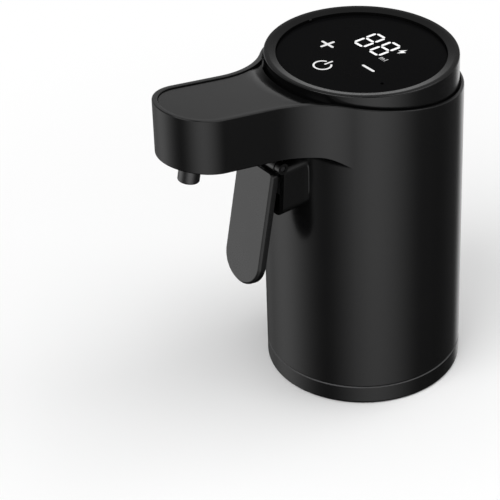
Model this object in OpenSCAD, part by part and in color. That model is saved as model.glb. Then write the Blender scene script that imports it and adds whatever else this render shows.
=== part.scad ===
// Electric wine pourer that stands on a bottle's neck and pumps through its spout arm.
// Millimetres. The bottle axis is Z, the base plane is Z = 0 and the arm points along -Y.

/* [Body] */
// Outside diameter of the body
body_d = 58; // [56:0.5:64]
// Wall of the body
body_wall = 2; // [1.6:0.1:2.4]
// Height of the sloping rim where it crosses the body's axis
body_h = 97.1; // [95:0.5:108]
// Slope of the rim and of the arm, in degrees
top_slope = 10.7; // [8:0.1:12]
// Height of the base ring up to the seam
base_h = 6; // [5:0.5:9]
// Floor of the base ring
base_floor = 4; // [3:0.25:4.5]
// Round along the base ring's lower edge
base_round = 0.9; // [0.4:0.1:1.5]
// Open seam between the base ring and the body
seam_gap = 0.3; // [0.2:0.05:0.6]
// Radius of the base screws' shanks
base_screw_r = 1.1; // [0.8:0.1:1.4]
// Length of the base screws' shanks
base_screw_l = 9; // [7:0.5:12]

/* [Arm] */
// Width of the spout arm
arm_w = 24.5; // [22:0.5:28]
// Distance from the body's axis to the centre of the arm's round nose
arm_reach = 57.4; // [52:0.5:70]
// Thickness of the arm, square to its slope
arm_t = 16.4; // [15:0.1:18]
// Radius of the hollow that blends the arm into the body, seen from above
arm_blend = 29.6; // [24:0.5:36]
// Wall of the arm
arm_wall = 2.8; // [2.4:0.1:3.4]
// Floor of the arm
arm_floor = 2; // [1.6:0.1:2.4]
// Border that the arm shows around its cover
cover_border = 1.7; // [1.2:0.1:2]
// Thickness of the arm's cover
cover_t = 1.6; // [1.2:0.1:2]
// Depth of the cover below the arm's rim
cover_drop = 0.35; // [0.1:0.05:0.6]

/* [Display] */
// Outside diameter of the display bezel
bezel_d = 55.3; // [53.5:0.1:55.4]
// Height of the bezel's top above the rim, on the body's axis
bezel_rise = 6; // [4.5:0.1:9]
// Slope of the display, in degrees
bezel_slope = 2; // [0:0.5:4]
// Width of the ring around the display lens
bezel_ring = 3.35; // [2.6:0.05:4]
// How far that ring falls towards the lens
bezel_dish = 0.5; // [0.2:0.05:0.8]
// Wall of the bezel's skirt
bezel_wall = 2; // [1.6:0.1:2.4]
// Depth of the bezel's seat below the rim
bezel_seat = 4.5; // [4:0.1:5]
// Width of the dark gap between the bezel and the rim
shadow_gap = 0.5; // [0.3:0.05:0.6]
// Depth of that gap
shadow_deep = 2.5; // [1.5:0.1:3]
// Thickness of the display lens
lens_t = 0.7; // [0.6:0.1:1.6]
// Depth of the lens below the ring's inner edge
lens_drop = 0.9; // [0.2:0.05:1.1]
// Thickness of the web that carries the lens
lens_web = 1.5; // [1:0.1:2]
// Distance from the lens web to the control board
board_gap = 5; // [4.5:0.1:5.5]
// Diameter of the control board
board_d = 41; // [38:0.5:42]
// Thickness of the control board
board_t = 1.6; // [1:0.1:1.6]
// Width of the digit display
digits_w = 24; // [20:0.5:26]
// Depth of the digit display
digits_h = 13; // [11:0.5:13.5]
// Distance of the digit display's middle behind the body's axis
digits_y = 6.3; // [5.5:0.1:7]

/* [Bottle neck] */
// Bore of the socket that takes the bottle's neck
neck_d = 36; // [34:0.5:37]
// Depth of the socket
neck_depth = 34; // [30:0.5:36]
// Wall of the neck sleeve
sleeve_wall = 1.6; // [1.2:0.1:2]
// Thickness of the deck on top of the neck sleeve
deck_t = 2.4; // [2:0.1:3]
// Height of the lip in the base ring that carries the sleeve
lip_h = 1.5; // [1:0.1:2]
// Diameter of the bottle stopper's sealing land
stopper_d = 18.6; // [17.5:0.1:19.5]
// Length of the sealing land
stopper_land = 14; // [10:0.5:16]
// Height of the stopper's lower end above the base
stopper_foot = 9; // [8:0.5:10]
// Thickness of the neck gasket
gasket_t = 1.6; // [1:0.1:2.4]
// Diameter of the intake tube
tube_d = 5; // [4.6:0.1:5.2]
// Bore of the intake tube
tube_bore = 2.6; // [2.2:0.1:2.8]
// Height of the intake tube's lower end above the base
tube_foot = 3; // [2:0.25:5]
// Diameter of the spigot at that end, which takes a dip tube
spigot_d = 4.2; // [4:0.1:4.5]

/* [Pump] */
// Teeth on each pump gear
gear_teeth = 12; // [12:1:13]
// Module of the pump gears
gear_module = 0.75; // [0.72:0.01:0.78]
// Width of the pump gears
gear_t = 6; // [5:0.25:7]
// Wall around the pump's gears
pump_wall = 2.6; // [2.2:0.1:3]
// Floor of the pump
pump_floor = 2; // [1.8:0.1:3]
// Thickness of the pump's cover
pump_cover_t = 3; // [2.6:0.1:3.6]
// Height of the pump's soft mounts
pump_mount_h = 3.6; // [3.2:0.1:4.4]
// Distance of the gears' line in front of the body's axis
pump_y = 5; // [4.8:0.1:5.4]
// Distance of the pump's outlet in front of the body's axis
outlet_y = 20.5; // [20.3:0.1:21]
// Diameter of the shafts of motor and idler
shaft_d = 2; // [1.6:0.1:2.4]

/* [Motor] */
// Diameter of the motor
motor_d = 24; // [22:0.25:24.25]
// Length of the motor's steel can
motor_can_l = 26.5; // [24:0.25:28]
// Length of the motor's end cap
motor_cap_l = 3.5; // [3:0.25:4.5]
// Wall of the motor's can
motor_wall = 0.9; // [0.6:0.1:1.2]

/* [Battery] */
// Diameter of the battery cell
cell_d = 14; // [12:0.25:14.25]
// Length of the battery cell
cell_l = 50; // [45:0.5:51]
// Direction of the cell from the body's axis, in degrees
cell_angle = 30; // [26:1:38]
// Wall of the battery cradle
cradle_wall = 1.2; // [1:0.1:1.4]
// Height of the battery cradle
cradle_h = 16; // [10:0.5:30]

/* [Spout] */
// Diameter of the nozzle
nozzle_d = 6.2; // [5:0.1:6.5]
// Bore of the nozzle
nozzle_bore = 3.2; // [2.4:0.1:3.6]
// How far the nozzle reaches below the arm
nozzle_drop = 7; // [4:0.2:12]
// Outside diameter of the outlet hose
hose_d = 5; // [4.6:0.1:5.2]
// Bore of the outlet hose
hose_bore = 3.4; // [3.2:0.1:3.6]
// Depth of the hose's middle below the arm's top
hose_depth = 10; // [9.6:0.1:10.2]

/* [Trigger] */
// Width of the lever
lever_w = 16; // [14:0.2:16.4]
// Length of the lever
lever_l = 37.4; // [30:0.2:40]
// Thickness of the lever
lever_t = 2.6; // [1.8:0.1:2.8]
// Forward lean of the lever at rest, in degrees
lever_lean = 11.1; // [9:0.1:13]
// Swing of the lever when it is pressed, in degrees
lever_swing = 7; // [5:0.5:8]
// Distance of the hinge in front of the body
hinge_out = 7.2; // [7:0.1:8.5]
// Depth of the hinge below the rim, on the body's axis
hinge_drop = 14.5; // [14.1:0.1:15.6]
// Distance from the hinge to the lever's front face
lever_front = 2.4; // [2.2:0.1:2.8]
// Distance from the hinge down to the lever's upper edge
lever_top = 2; // [1.8:0.1:2.6]
// Diameter of the hinge pin
pin_d = 1.8; // [1.4:0.1:2]
// Diameter of the lever's knuckles
knuckle_d = 3.8; // [3.4:0.1:4]
// Width of the switch housing
housing_w = 18.8; // [18.4:0.1:20]
// Distance from the hinge down to the switch housing's underside
housing_drop = 16; // [13.6:0.1:17]
// Round of the switch housing's corners
housing_round = 3.2; // [2:0.1:3.4]
// Wall of the switch housing
housing_wall = 1.2; // [1:0.1:1.5]
// Wire of the trigger spring
spring_wire = 0.5; // [0.4:0.05:0.6]
// Turns of the trigger spring
spring_turns = 4; // [3:1:4]

/* [Charging socket] */
// Width of the charging socket
usb_w = 9; // [8.8:0.1:9.4]
// Height of the charging socket
usb_h = 3.2; // [3:0.1:3.6]
// Length of the charging socket
usb_l = 7.3; // [6.5:0.1:8]
// Depth of the charging board's upper face below the rim, on the body's axis
usb_drop = 16.6; // [16:0.1:18]

/* [Fits] */
// Play between pieces that are pushed or turned in each other
slip = 0.05; // [0.02:0.01:0.08]
// Clear space between pieces that only lie side by side
clear = 0.3; // [0.2:0.05:0.4]

/* [Hidden] */

$fn = 96;
// Longer than anything here, for cuts that run right through
far = 400;
// How far a cut runs past the face that it opens
over = 1;
// Depth by which parts of one piece grow into each other
bond = 1;
// Play between pieces that are pressed together
press = 0.02;
// Space between the end of a lead and what it is soldered to
solder = 0.05;
// Points in each turn of a spring
coil_points = 8;

// Body and base
body_r = body_d / 2;
inner_r = body_r - body_wall;
shell_z = base_h + seam_gap;
seam_land = 1.2;
seam_chamfer = 0.35;
spigot_wall = 1.5;
spigot_h = 3;
spigot_r = inner_r - slip;
boss_r = 2.6;
boss_top = 16;
boss_angles = [90, 210, 330];
screw_head_h = 1.4;
head_ratio = 1.8;
base_head_sunk = 0.4;
base_head_z = screw_head_h + base_head_sunk;

// Bezel and its seat
bezel_h = body_h + bezel_rise;
bezel_r = bezel_d / 2;
bezel_bore = bezel_r + slip;
groove_r = bezel_r + shadow_gap;
lens_r = bezel_r - bezel_ring;
lens_z = -bezel_dish - lens_drop;
web_z = lens_z - lens_t;
board_z = web_z - lens_web - board_gap;
bezel_edge = 0.5;
bezel_land = 0.2;
skirt_r = bezel_r - bezel_wall;
post_inset = 2.2;
post_ring = board_d / 2 - post_inset;
post_r = 2;
post_angles = [20, 160, 235, 305];
board_screw_r = 0.8;
chip_spots = [[0, -2], [-9, 6], [6, 9], [-2, 11]];
chip_sizes = [[7, 7, 1.2], [5, 4, 2], [4, 4, 1], [3, 6, 1.6]];
touch_spots = [[-8.9, -4.8], [8.9, -4.8], [0, -13.9]];
touch_hole = 3.2;
touch_coil_r = 2;
touch_wire = 0.45;
touch_turns = 4;
touch_steps = coil_points * touch_turns;
touch_lift = 0.05;
touch_rise = web_z - board_z - 2 * touch_lift;
digits_x = -1;

// Neck sleeve and stopper
neck_r = neck_d / 2;
sleeve_r = neck_r + sleeve_wall;
deck_z = neck_depth + deck_t;
deck_r = inner_r - clear;
boss_ring = (sleeve_r + inner_r) / 2;
stopper_r = stopper_d / 2;
stem_r = 5.4;
stopper_lip_r = 6.4;
stopper_lip_t = 1.6;
tube_r = tube_d / 2;
vent_x = 4.15;
vent_r = 0.7;
vent_cap_r = 1.3;
vent_cap_t = 0.9;
vent_stem_l = 3;
gasket_room = 0.6;
gasket_r = stopper_r + gasket_room;

// Pump and motor
gear_pitch_r = gear_module * gear_teeth / 2;
gear_addendum = 0.9;
gear_dedendum = 1.2;
pressure_angle = 20;
gear_tip_r = gear_pitch_r + gear_addendum * gear_module;
gear_root_r = gear_pitch_r - gear_dedendum * gear_module;
gear_base_r = gear_pitch_r * cos(pressure_angle);
gear_backlash = 0.16;
gear_side_play = 0.1;
pocket_play = 0.15;
pocket_r = gear_tip_r + pocket_play;
pump_r = pocket_r + pump_wall;
drive_x = -gear_pitch_r;
idler_x = gear_pitch_r;
pump_z = deck_z + pump_mount_h;
gear_z = pump_z + pump_floor + gear_side_play;
pump_top = gear_z + gear_t + gear_side_play;
cover_z = pump_top + pump_cover_t;
snout_r = 4;
channel_w = 3.2;
screw_ear_r = 2.4;
pump_screw_r = 1;
pump_ear_x = pump_r + gear_pitch_r - 0.4;
pump_ear_y = 5.2;
pump_screw_spots = [[-pump_ear_x, -pump_y], [pump_ear_x, -pump_y], [0, pump_ear_y]];
pump_screw_short = 1.2;
pin_seat = 1;
pin_foot = pump_z + pump_floor / 3;
shaft_lift = 0.2;
shaft_short = 0.5;
pump_mount_r = 1.8;
pump_mount_x = 8.8;
pump_mount_dy = 3.8;
shaft_r = shaft_d / 2;
seal_r = 3;
seal_t = 1.6;
barb_play = 0.12;
barb_r = hose_bore / 2 - barb_play;
barb_bore = 1;
barb_l = 7.5;
motor_r = motor_d / 2;
motor_in_r = motor_r - motor_wall;
motor_cap_z = cover_z + motor_can_l;
motor_top = motor_cap_z + motor_cap_l;
collar_wall = 1.1;
collar_h = 4;
bush_r = 3;
bush_l = 3;
magnet_t = 2.8;
magnet_margin = 4;
magnet_z = cover_z + magnet_margin;
magnet_l = motor_can_l - 2 * magnet_margin;
air_gap = 0.7;
core_r = motor_in_r - magnet_t - air_gap;
core_margin = 6;
core_z = cover_z + core_margin;
core_l = motor_can_l - 2 * core_margin;
commutator_r = 2.5;
commutator_gap = 0.6;
commutator_z = core_z + core_l + commutator_gap;
commutator_l = motor_cap_z - commutator_z - commutator_gap;
terminal_x = 7;
motor_tab_w = 2.4;
motor_tab_h = 0.8;

// Battery
cell_r = cell_d / 2;
cell_play = 0.15;
cradle_bore = cell_r + cell_play;
cradle_r = cradle_bore + cradle_wall;
cell_ring = inner_r - cradle_r - clear;
cell_x = cell_ring * cos(cell_angle);
cell_y = cell_ring * sin(cell_angle);
cradle_floor = 1.2;
cell_z = deck_z + cradle_floor;
cell_cap_r = 2.8;
cell_cap_t = 1.2;

// Arm, nozzle and hose
arm_half = arm_w / 2;
blend_x = arm_half + arm_blend;
blend_y = -sqrt(pow(body_r + arm_blend, 2) - pow(blend_x, 2));
cover_low = cover_drop + cover_t;
cover_gap = 0.15;
floor_top = arm_t - arm_floor;
nozzle_r = nozzle_d / 2;
nozzle_step = 0.2;
nozzle_neck_r = nozzle_r + nozzle_step;
ear_hole_skin = 0.5;
nozzle_screw_short = 0.6;
nose_y = -arm_reach / cos(top_slope);
flange_r = 5;
flange_t = 1.5;
ear_x = 6.2;
ear_r = 1.9;
seal_ring_t = 0.8;
seal_groove_r = 4.3;
elbow_r = 3.6;
elbow_top = hose_depth - elbow_r;
elbow_barb_l = 11;
hose_r = hose_d / 2;
hose_bend = 10;
hose_sides = 12;
hose_turn = 90 - top_slope;
hose_line_z = body_h - hose_depth / cos(top_slope);
hose_end_y = -outlet_y - hose_bend + hose_bend * cos(hose_turn);
hose_bend_z = hose_line_z - hose_end_y * tan(top_slope) - hose_bend * sin(hose_turn);
hose_tip_y = nose_y + flange_r + clear;
hose_far_y = hose_tip_y * cos(top_slope) - hose_depth * sin(top_slope);
hose_straight = 2;

// Trigger
hinge_y = body_r + hinge_out;
hinge_z = body_h - hinge_drop;
housing_z = hinge_z - housing_drop;
lever_half = lever_w / 2;
lever_back = lever_front - lever_t;
stop_gap = 0.3;
knuckle_r = knuckle_d / 2;
knuckle_in = 3.2;
knuckle_out = lever_half - 0.8;
knuckle_web = 0.8;
lug_in = knuckle_out + 0.4;
lug_r = lever_top - clear;
pin_r = pin_d / 2;
housing_half = housing_w / 2;
housing_top = hinge_z + 1;
pin_short = 0.4;
cavity_back = hinge_y - knuckle_r - 0.5;
pusher_half = knuckle_out - 0.8;
pusher_top = 4;
pusher_foot = housing_drop - housing_wall - 0.7;
pusher_back = 1;
plunger_drop = 7.4;
plunger_z = hinge_z - plunger_drop;
plunger_r = 1.2;
plunger_gap = 0.1;
plunger_tip = hinge_y - pusher_back / cos(lever_lean) + plunger_drop * tan(lever_lean) - plunger_gap;
plunger_l = 3.4;
switch_half = 6.4;
switch_t = 5.8;
plunger_out = 1.3;
switch_front = plunger_tip - plunger_out;
switch_back = body_r + 0.5;
switch_z = plunger_z - switch_t / 2;
terminal_w = 1.6;
terminal_t = 0.5;
terminal_l = 4.5;
terminal_pitch = 4;
window_half = 6;
window_h = 4.4;
switch_screw_x = 7;
switch_screw_z = 2.4;
switch_screw_r = 1;
switch_screw_l = 5.5;
switch_face = sqrt(pow(inner_r, 2) - pow(switch_screw_x + 2, 2));
coil_play = 0.25;
coil_r = pin_r + spring_wire + coil_play;
coil_half = knuckle_in - 0.8;
coil_steps = coil_points * spring_turns - 1;
spring_leg = 3;
spring_foot = 1.2;
spring_bend = 0.4;

// Charging socket
usb_z = body_h - usb_drop;
usb_board_t = 1.2;
usb_board_w = 14;
usb_sunk = 0.6;
usb_mouth = sqrt(pow(body_r, 2) - pow(usb_w / 2, 2)) - usb_sunk;
usb_shell = 0.4;
usb_tongue_t = 0.7;
usb_tongue_side = 1.2;
usb_tongue_sunk = 1;
usb_board_margin = 3.2;
usb_board_y = usb_mouth - usb_l - usb_board_margin;
usb_board_l = sqrt(pow(inner_r, 2) - pow(usb_board_w / 2, 2)) - clear - usb_board_y;
usb_shelf_w = 3;
usb_shelf_h = 3;
usb_screw_r = 0.8;
usb_screw_x = (usb_board_w - usb_shelf_w) / 2;
usb_screw_y = usb_board_y + 2;
usb_screw_short = 0.5;
usb_shelf_z = usb_z - usb_board_t - usb_shelf_h;

// Leads
lead_r = 0.6;
lead_sides = 8;
lead_top = bezel_h + board_z - board_t - 2 * clear;
// How far each lead moves sideways and forwards, or backwards, on its way up
motor_lead_in = 2;
motor_lead_fore = 4;
cell_lead_in = 1;
cell_lead_fore = 3;
switch_lead_out = 2;
switch_lead_back = 9;
// A direction that no lead takes
lead_ref = [0.2, 1, 0];

// Frame whose flat plane is the sloping rim
module on_rim() { translate([0, 0, body_h]) rotate([-top_slope, 0, 0]) children(); }

// Frame whose flat plane is the display's edge
module on_bezel() { translate([0, 0, bezel_h]) rotate([-bezel_slope, 0, 0]) children(); }

// Frame at the hinge, with the lever's face upright in it
module on_lever(swing = 0) {
    translate([0, -hinge_y, hinge_z]) rotate([swing - lever_lean, 0, 0]) children();
}

// Frame on the pump's drive axis
module on_drive(z = 0) { translate([drive_x, -pump_y, z]) children(); }

// Everything below the flat plane of a frame
module below() { translate([-far, -far, -2 * far]) cube(2 * far); }

module below_rim(depth) { on_rim() translate([0, 0, -depth]) below(); }

module ring(r_out, r_in, h) {
    difference() {
        cylinder(r = r_out, h = h);
        translate([0, 0, -over]) cylinder(r = r_in, h = h + 2 * over);
    }
}

// Rounded rectangle around the origin
module round_rect(w, h, r) {
    square([w - 2 * r, h], center = true);
    square([w, h - 2 * r], center = true);
    for (x = [-1, 1], y = [-1, 1]) translate([x * (w / 2 - r), y * (h / 2 - r)]) circle(r = r);
}

// Slot with full round ends, around the origin
module slot_outline(w, h) {
    square([w - h, h], center = true);
    for (x = [-1, 1]) translate([x * (w - h) / 2, 0]) circle(d = h);
}

// Cross-head screw, its head's underside at the origin and its shank along +Z
module screw(r, length) {
    cylinder(r = r, h = length);
    difference() {
        translate([0, 0, -screw_head_h]) cylinder(r = r * head_ratio, h = screw_head_h);
        for (turn = [0, 90]) rotate(turn) translate([-r, -r / 4, -screw_head_h - over])
            cube([2 * r, r / 2, over + screw_head_h / 2]);
    }
}

// Plan of the arm, drawn in by inset all round
module arm_plan(inset) {
    half = arm_half - inset;
    difference() {
        polygon([
            [0, 0],
            [-blend_x, blend_y],
            [-half, blend_y],
            [-half, -arm_reach],
            [half, -arm_reach],
            [half, blend_y],
            [blend_x, blend_y]
        ]);
        for (side = [-1, 1]) translate([side * blend_x, blend_y]) circle(r = arm_blend + inset);
    }
    translate([0, -arm_reach]) circle(r = half);
}

// Slice of the arm between two depths below the rim
module arm_slice(inset, top, bottom) {
    intersection() {
        linear_extrude(height = far) arm_plan(inset);
        difference() {
            below_rim(top);
            below_rim(bottom);
        }
    }
}

function unit(v) = v / norm(v);

function path_dir(p, i) =
    i == 0 ? unit(p[1] - p[0])
    : i == len(p) - 1 ? unit(p[i] - p[i - 1])
    : unit(unit(p[i + 1] - p[i]) + unit(p[i] - p[i - 1]));

function path_rings(p, r, sides, ref) = [
    for (i = [0:len(p) - 1])
        let (d = path_dir(p, i), a = unit(cross(ref, d)), b = cross(d, a))
            for (k = [0:sides - 1]) let (turn = 360 * k / sides)
                p[i] + r * (cos(turn) * a + sin(turn) * b)
];

function skin(rings, sides, start, outward) = [
    for (i = [0:rings - 2], k = [0:sides - 1], half = [0, 1])
        let (
            a = start + i * sides + k,
            b = start + i * sides + (k + 1) % sides,
            c = b + sides,
            d = a + sides
        )
            outward ? (half == 0 ? [a, d, c] : [a, c, b]) : (half == 0 ? [a, c, d] : [a, b, c])
];

// Solid wire along a path; ref is a direction that the path never takes
module wire(p, r, sides, ref) {
    last = (len(p) - 1) * sides;
    caps = [
        for (k = [1:sides - 2], end = [0, 1])
            end == 0 ? [0, k, k + 1] : [last, last + k + 1, last + k]
    ];
    polyhedron(
        points = path_rings(p, r, sides, ref),
        faces = concat(skin(len(p), sides, 0, true), caps)
    );
}

// Hose along a path, with its bore
module hose(p, r_out, r_in, sides, ref) {
    outer = path_rings(p, r_out, sides, ref);
    inner = path_rings(p, r_in, sides, ref);
    shift = len(outer);
    last = shift - sides;
    ends = [
        for (k = [0:sides - 1], end = [0, 1], half = [0, 1])
            let (
                a = (end == 0 ? 0 : last) + k,
                b = (end == 0 ? 0 : last) + (k + 1) % sides,
                c = b + shift,
                d = a + shift
            )
                end == 0 ? (half == 0 ? [a, b, c] : [a, c, d]) : (half == 0 ? [a, c, b] : [a, d, c])
    ];
    polyhedron(
        points = concat(outer, inner),
        faces = concat(skin(len(p), sides, 0, true), skin(len(p), sides, shift, false), ends)
    );
}

// Least gap between the turns of a coil, measured on its points
function coil_gap(p, turn_points, wire_d) = min([
    for (i = [0:len(p) - 1 - turn_points]) norm(p[i] - p[i + turn_points])
]) - wire_d;

function involute(a) = tan(a) * 180 / PI - a;

function tooth_half(r) =
    90 / gear_teeth - gear_backlash / 2 / gear_pitch_r * 90 / PI + involute(pressure_angle)
    - involute(acos(min(1, gear_base_r / r)));

// Outline of a pump gear, one tooth on the X axis
module gear_outline() {
    flank = [gear_root_r, gear_base_r, (gear_base_r + gear_pitch_r) / 2, gear_pitch_r,
        (gear_pitch_r + gear_tip_r) / 2, gear_tip_r];
    polygon([
        for (tooth = [0:gear_teeth - 1], side = [-1, 1], i = [0:len(flank) - 1])
            let (
                r = flank[side < 0 ? i : len(flank) - 1 - i],
                a = 360 * tooth / gear_teeth + side * tooth_half(r)
            )
                [r * cos(a), r * sin(a)]
    ]);
}

// Outline of the pump, which its body and its cover share
module pump_plan() {
    for (x = [drive_x, idler_x]) translate([x, -pump_y]) circle(r = pump_r);
    translate([drive_x, -pump_y - pump_r]) square([idler_x - drive_x, 2 * pump_r]);
    for (spot = pump_screw_spots) translate(spot) circle(r = screw_ear_r);
    translate([-screw_ear_r, -pump_y]) square([2 * screw_ear_r, pump_y + pump_ear_y]);
    translate([-snout_r, -outlet_y]) square([2 * snout_r, outlet_y - pump_y]);
    translate([0, -outlet_y]) circle(r = snout_r);
}

module body_shell() {
    color([0.055, 0.055, 0.06]) difference() {
        union() {
            difference() {
                translate([0, 0, shell_z]) cylinder(r = body_r, h = far);
                translate([0, 0, shell_z - over]) cylinder(r = inner_r, h = far);
            }
            for (angle = boss_angles) rotate(angle) base_boss();
            for (side = [-1, 1]) usb_shelf(side);
            arm_slice(0, 0, arm_t);
        }
        on_rim() translate([-far, -far, 0]) cube(2 * far);
        difference() {
            translate([0, 0, boss_top]) cylinder(r = bezel_bore, h = far);
            below_rim(bezel_seat);
        }
        difference() {
            translate([0, 0, boss_top]) cylinder(r = groove_r, h = far);
            below_rim(shadow_deep);
        }
        intersection() {
            translate([0, 0, boss_top]) cylinder(r = inner_r, h = far);
            arm_slice(-over, -over, arm_t + over);
        }
        arm_slice(arm_wall, cover_low - over, floor_top);
        arm_slice(cover_border - cover_gap, -over, cover_low);
        on_rim() translate([0, nose_y, -arm_t - over]) cylinder(r = nozzle_neck_r + slip, h = arm_t);
        for (x = [-ear_x, ear_x]) on_rim() translate([x, nose_y, ear_hole_skin - arm_t])
            cylinder(r = pump_screw_r + slip, h = arm_t);
        usb_opening();
        switch_window();
    }
}

// Boss for a base screw, on the X axis, tied to the wall behind it
module base_boss() {
    web = boss_r;
    difference() {
        union() {
            translate([boss_ring, 0, base_floor]) cylinder(r = boss_r, h = boss_top - base_floor);
            translate([boss_ring, -web / 2, base_floor])
                cube([inner_r + body_wall / 2 - boss_ring, web, boss_top - base_floor]);
        }
        translate([boss_ring, 0, base_floor - over])
            cylinder(r = base_screw_r + slip, h = boss_top - base_floor);
        ring(far, inner_r - slip, shell_z);
    }
}

// Shelf for one edge of the charging board
module usb_shelf(side) {
    intersection() {
        translate([side * usb_screw_x - usb_shelf_w / 2, usb_board_y, usb_shelf_z])
            cube([usb_shelf_w, body_r - usb_board_y, usb_shelf_h]);
        cylinder(r = inner_r + body_wall / 2, h = far);
    }
}

module usb_opening() {
    translate([0, usb_mouth - usb_l / 2, usb_z + usb_h / 2]) rotate([-90, 0, 0])
        linear_extrude(height = far) slot_outline(usb_w + 2 * clear, usb_h + 2 * clear);
    for (x = [-usb_screw_x, usb_screw_x]) translate([x, usb_screw_y, usb_shelf_z - over])
        cylinder(r = usb_screw_r + slip, h = usb_shelf_h + 2 * over);
}

module switch_window() {
    translate([-window_half, -body_r - over, plunger_z - window_h / 2])
        cube([2 * window_half, body_r - inner_r / 2, window_h]);
    for (x = [-switch_screw_x, switch_screw_x]) translate([x, 0, hinge_z - switch_screw_z]) {
        rotate([90, 0, 0]) cylinder(r = switch_screw_r + slip, h = body_r + over);
        rotate([90, 0, 0]) cylinder(r = switch_screw_r * head_ratio + slip, h = switch_face);
    }
}

module base_ring() {
    color([0.055, 0.055, 0.06]) difference() {
        rotate_extrude() difference() {
            union() {
                translate([neck_r, 0]) square([body_r - neck_r, lip_h]);
                translate([sleeve_r + slip, 0]) square([body_r - sleeve_r - slip, base_floor]);
                translate([inner_r, 0]) square([body_r - inner_r, base_h]);
                translate([inner_r, 0]) square([body_wall - seam_land + slip, shell_z]);
                translate([spigot_r - spigot_wall, 0]) square([spigot_wall, shell_z + spigot_h]);
                translate([spigot_r - slip, 0]) square([3 * slip, base_h]);
            }
            translate([body_r - base_round, 0]) difference() {
                translate([0, -over]) square(base_round + over);
                translate([0, base_round]) circle(r = base_round);
            }
            polygon([
                [body_r - seam_chamfer - over, base_h + over],
                [body_r + over, base_h + over],
                [body_r + over, base_h - seam_chamfer - over]
            ]);
        }
        for (angle = boss_angles) rotate(angle) {
            translate([boss_ring, 0, -over]) cylinder(r = base_screw_r + slip, h = far);
            translate([boss_ring, 0, -over])
                cylinder(r = base_screw_r * head_ratio + clear, h = over + base_head_z);
            translate([boss_ring - boss_r - clear, -boss_r - clear, base_floor])
                cube([inner_r - boss_ring + boss_r + clear, 2 * (boss_r + clear), far]);
        }
    }
}

module base_screws() {
    color("silver") for (angle = boss_angles) rotate(angle) translate([boss_ring, 0, base_head_z])
        screw(base_screw_r, base_screw_l);
}

module neck_sleeve() {
    color([0.16, 0.16, 0.17]) difference() {
        union() {
            translate([0, 0, lip_h]) cylinder(r = sleeve_r, h = deck_z - lip_h);
            translate([0, 0, neck_depth]) cylinder(r = deck_r, h = deck_t);
        }
        translate([0, 0, lip_h - over]) cylinder(r = neck_r, h = neck_depth - lip_h + over);
        cylinder(r = stem_r + slip, h = far);
    }
}

module neck_gasket() {
    color([0.35, 0.35, 0.36]) translate([0, 0, neck_depth - gasket_t])
        ring(neck_r - clear, gasket_r, gasket_t);
}

module bottle_stopper() {
    land_z = neck_depth - stopper_land;
    color([0.3, 0.3, 0.31]) difference() {
        rotate_extrude() polygon([
            [0, stopper_foot],
            [stopper_r - 1.9, stopper_foot],
            [stopper_r - 1, stopper_foot + 2],
            [stopper_r - 0.2, land_z - 6],
            [stopper_r - 0.2, land_z - 4.5],
            [stopper_r - 0.9, land_z - 3.8],
            [stopper_r - 0.9, land_z - 0.7],
            [stopper_r, land_z],
            [stopper_r, neck_depth],
            [stem_r, neck_depth],
            [stem_r, deck_z],
            [stopper_lip_r, deck_z],
            [stopper_lip_r - 0.4, deck_z + stopper_lip_t],
            [0, deck_z + stopper_lip_t]
        ]);
        cylinder(r = tube_r + slip, h = far);
        translate([vent_x, 0, 0]) cylinder(r = vent_r, h = far);
    }
}

module intake_tube() {
    top = pump_z + pump_floor - clear;
    shoulder = stopper_foot - clear;
    color([0.75, 0.76, 0.78]) difference() {
        union() {
            translate([0, 0, tube_foot]) cylinder(d = spigot_d, h = top - tube_foot);
            translate([0, 0, shoulder]) cylinder(d = tube_d, h = top - shoulder);
        }
        cylinder(d = tube_bore, h = far);
    }
}

module vent_valve() {
    top = deck_z + stopper_lip_t;
    color([0.55, 0.55, 0.56]) translate([vent_x, 0, 0]) {
        translate([0, 0, top - vent_stem_l]) cylinder(r = vent_r - slip, h = vent_stem_l);
        translate([0, 0, top]) cylinder(r1 = vent_cap_r, r2 = vent_cap_r / 2, h = vent_cap_t);
    }
}

module pump_mounts() {
    color([0.3, 0.3, 0.31]) for (x = [-1, 1], y = [-1, 1])
        translate([x * pump_mount_x, -pump_y + y * pump_mount_dy, deck_z])
            cylinder(r = pump_mount_r, h = pump_mount_h);
}

module pump_body() {
    color([0.72, 0.72, 0.7]) difference() {
        translate([0, 0, pump_z]) linear_extrude(height = pump_top - pump_z) pump_plan();
        translate([0, 0, pump_z + pump_floor]) linear_extrude(height = far) {
            for (x = [drive_x, idler_x]) translate([x, -pump_y]) circle(r = pocket_r);
            translate([-channel_w / 2, -outlet_y]) square([channel_w, outlet_y]);
            circle(r = channel_w / 2);
            translate([0, -outlet_y]) circle(r = channel_w / 2);
        }
        translate([0, 0, pump_z - over]) cylinder(r = tube_r + slip, h = pump_floor + over);
        for (x = [drive_x, idler_x]) translate([x, -pump_y, pin_foot])
            cylinder(r = shaft_r + slip, h = far);
        for (spot = pump_screw_spots) translate([spot[0], spot[1], 0])
            cylinder(r = pump_screw_r + slip, h = far);
    }
}

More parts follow.
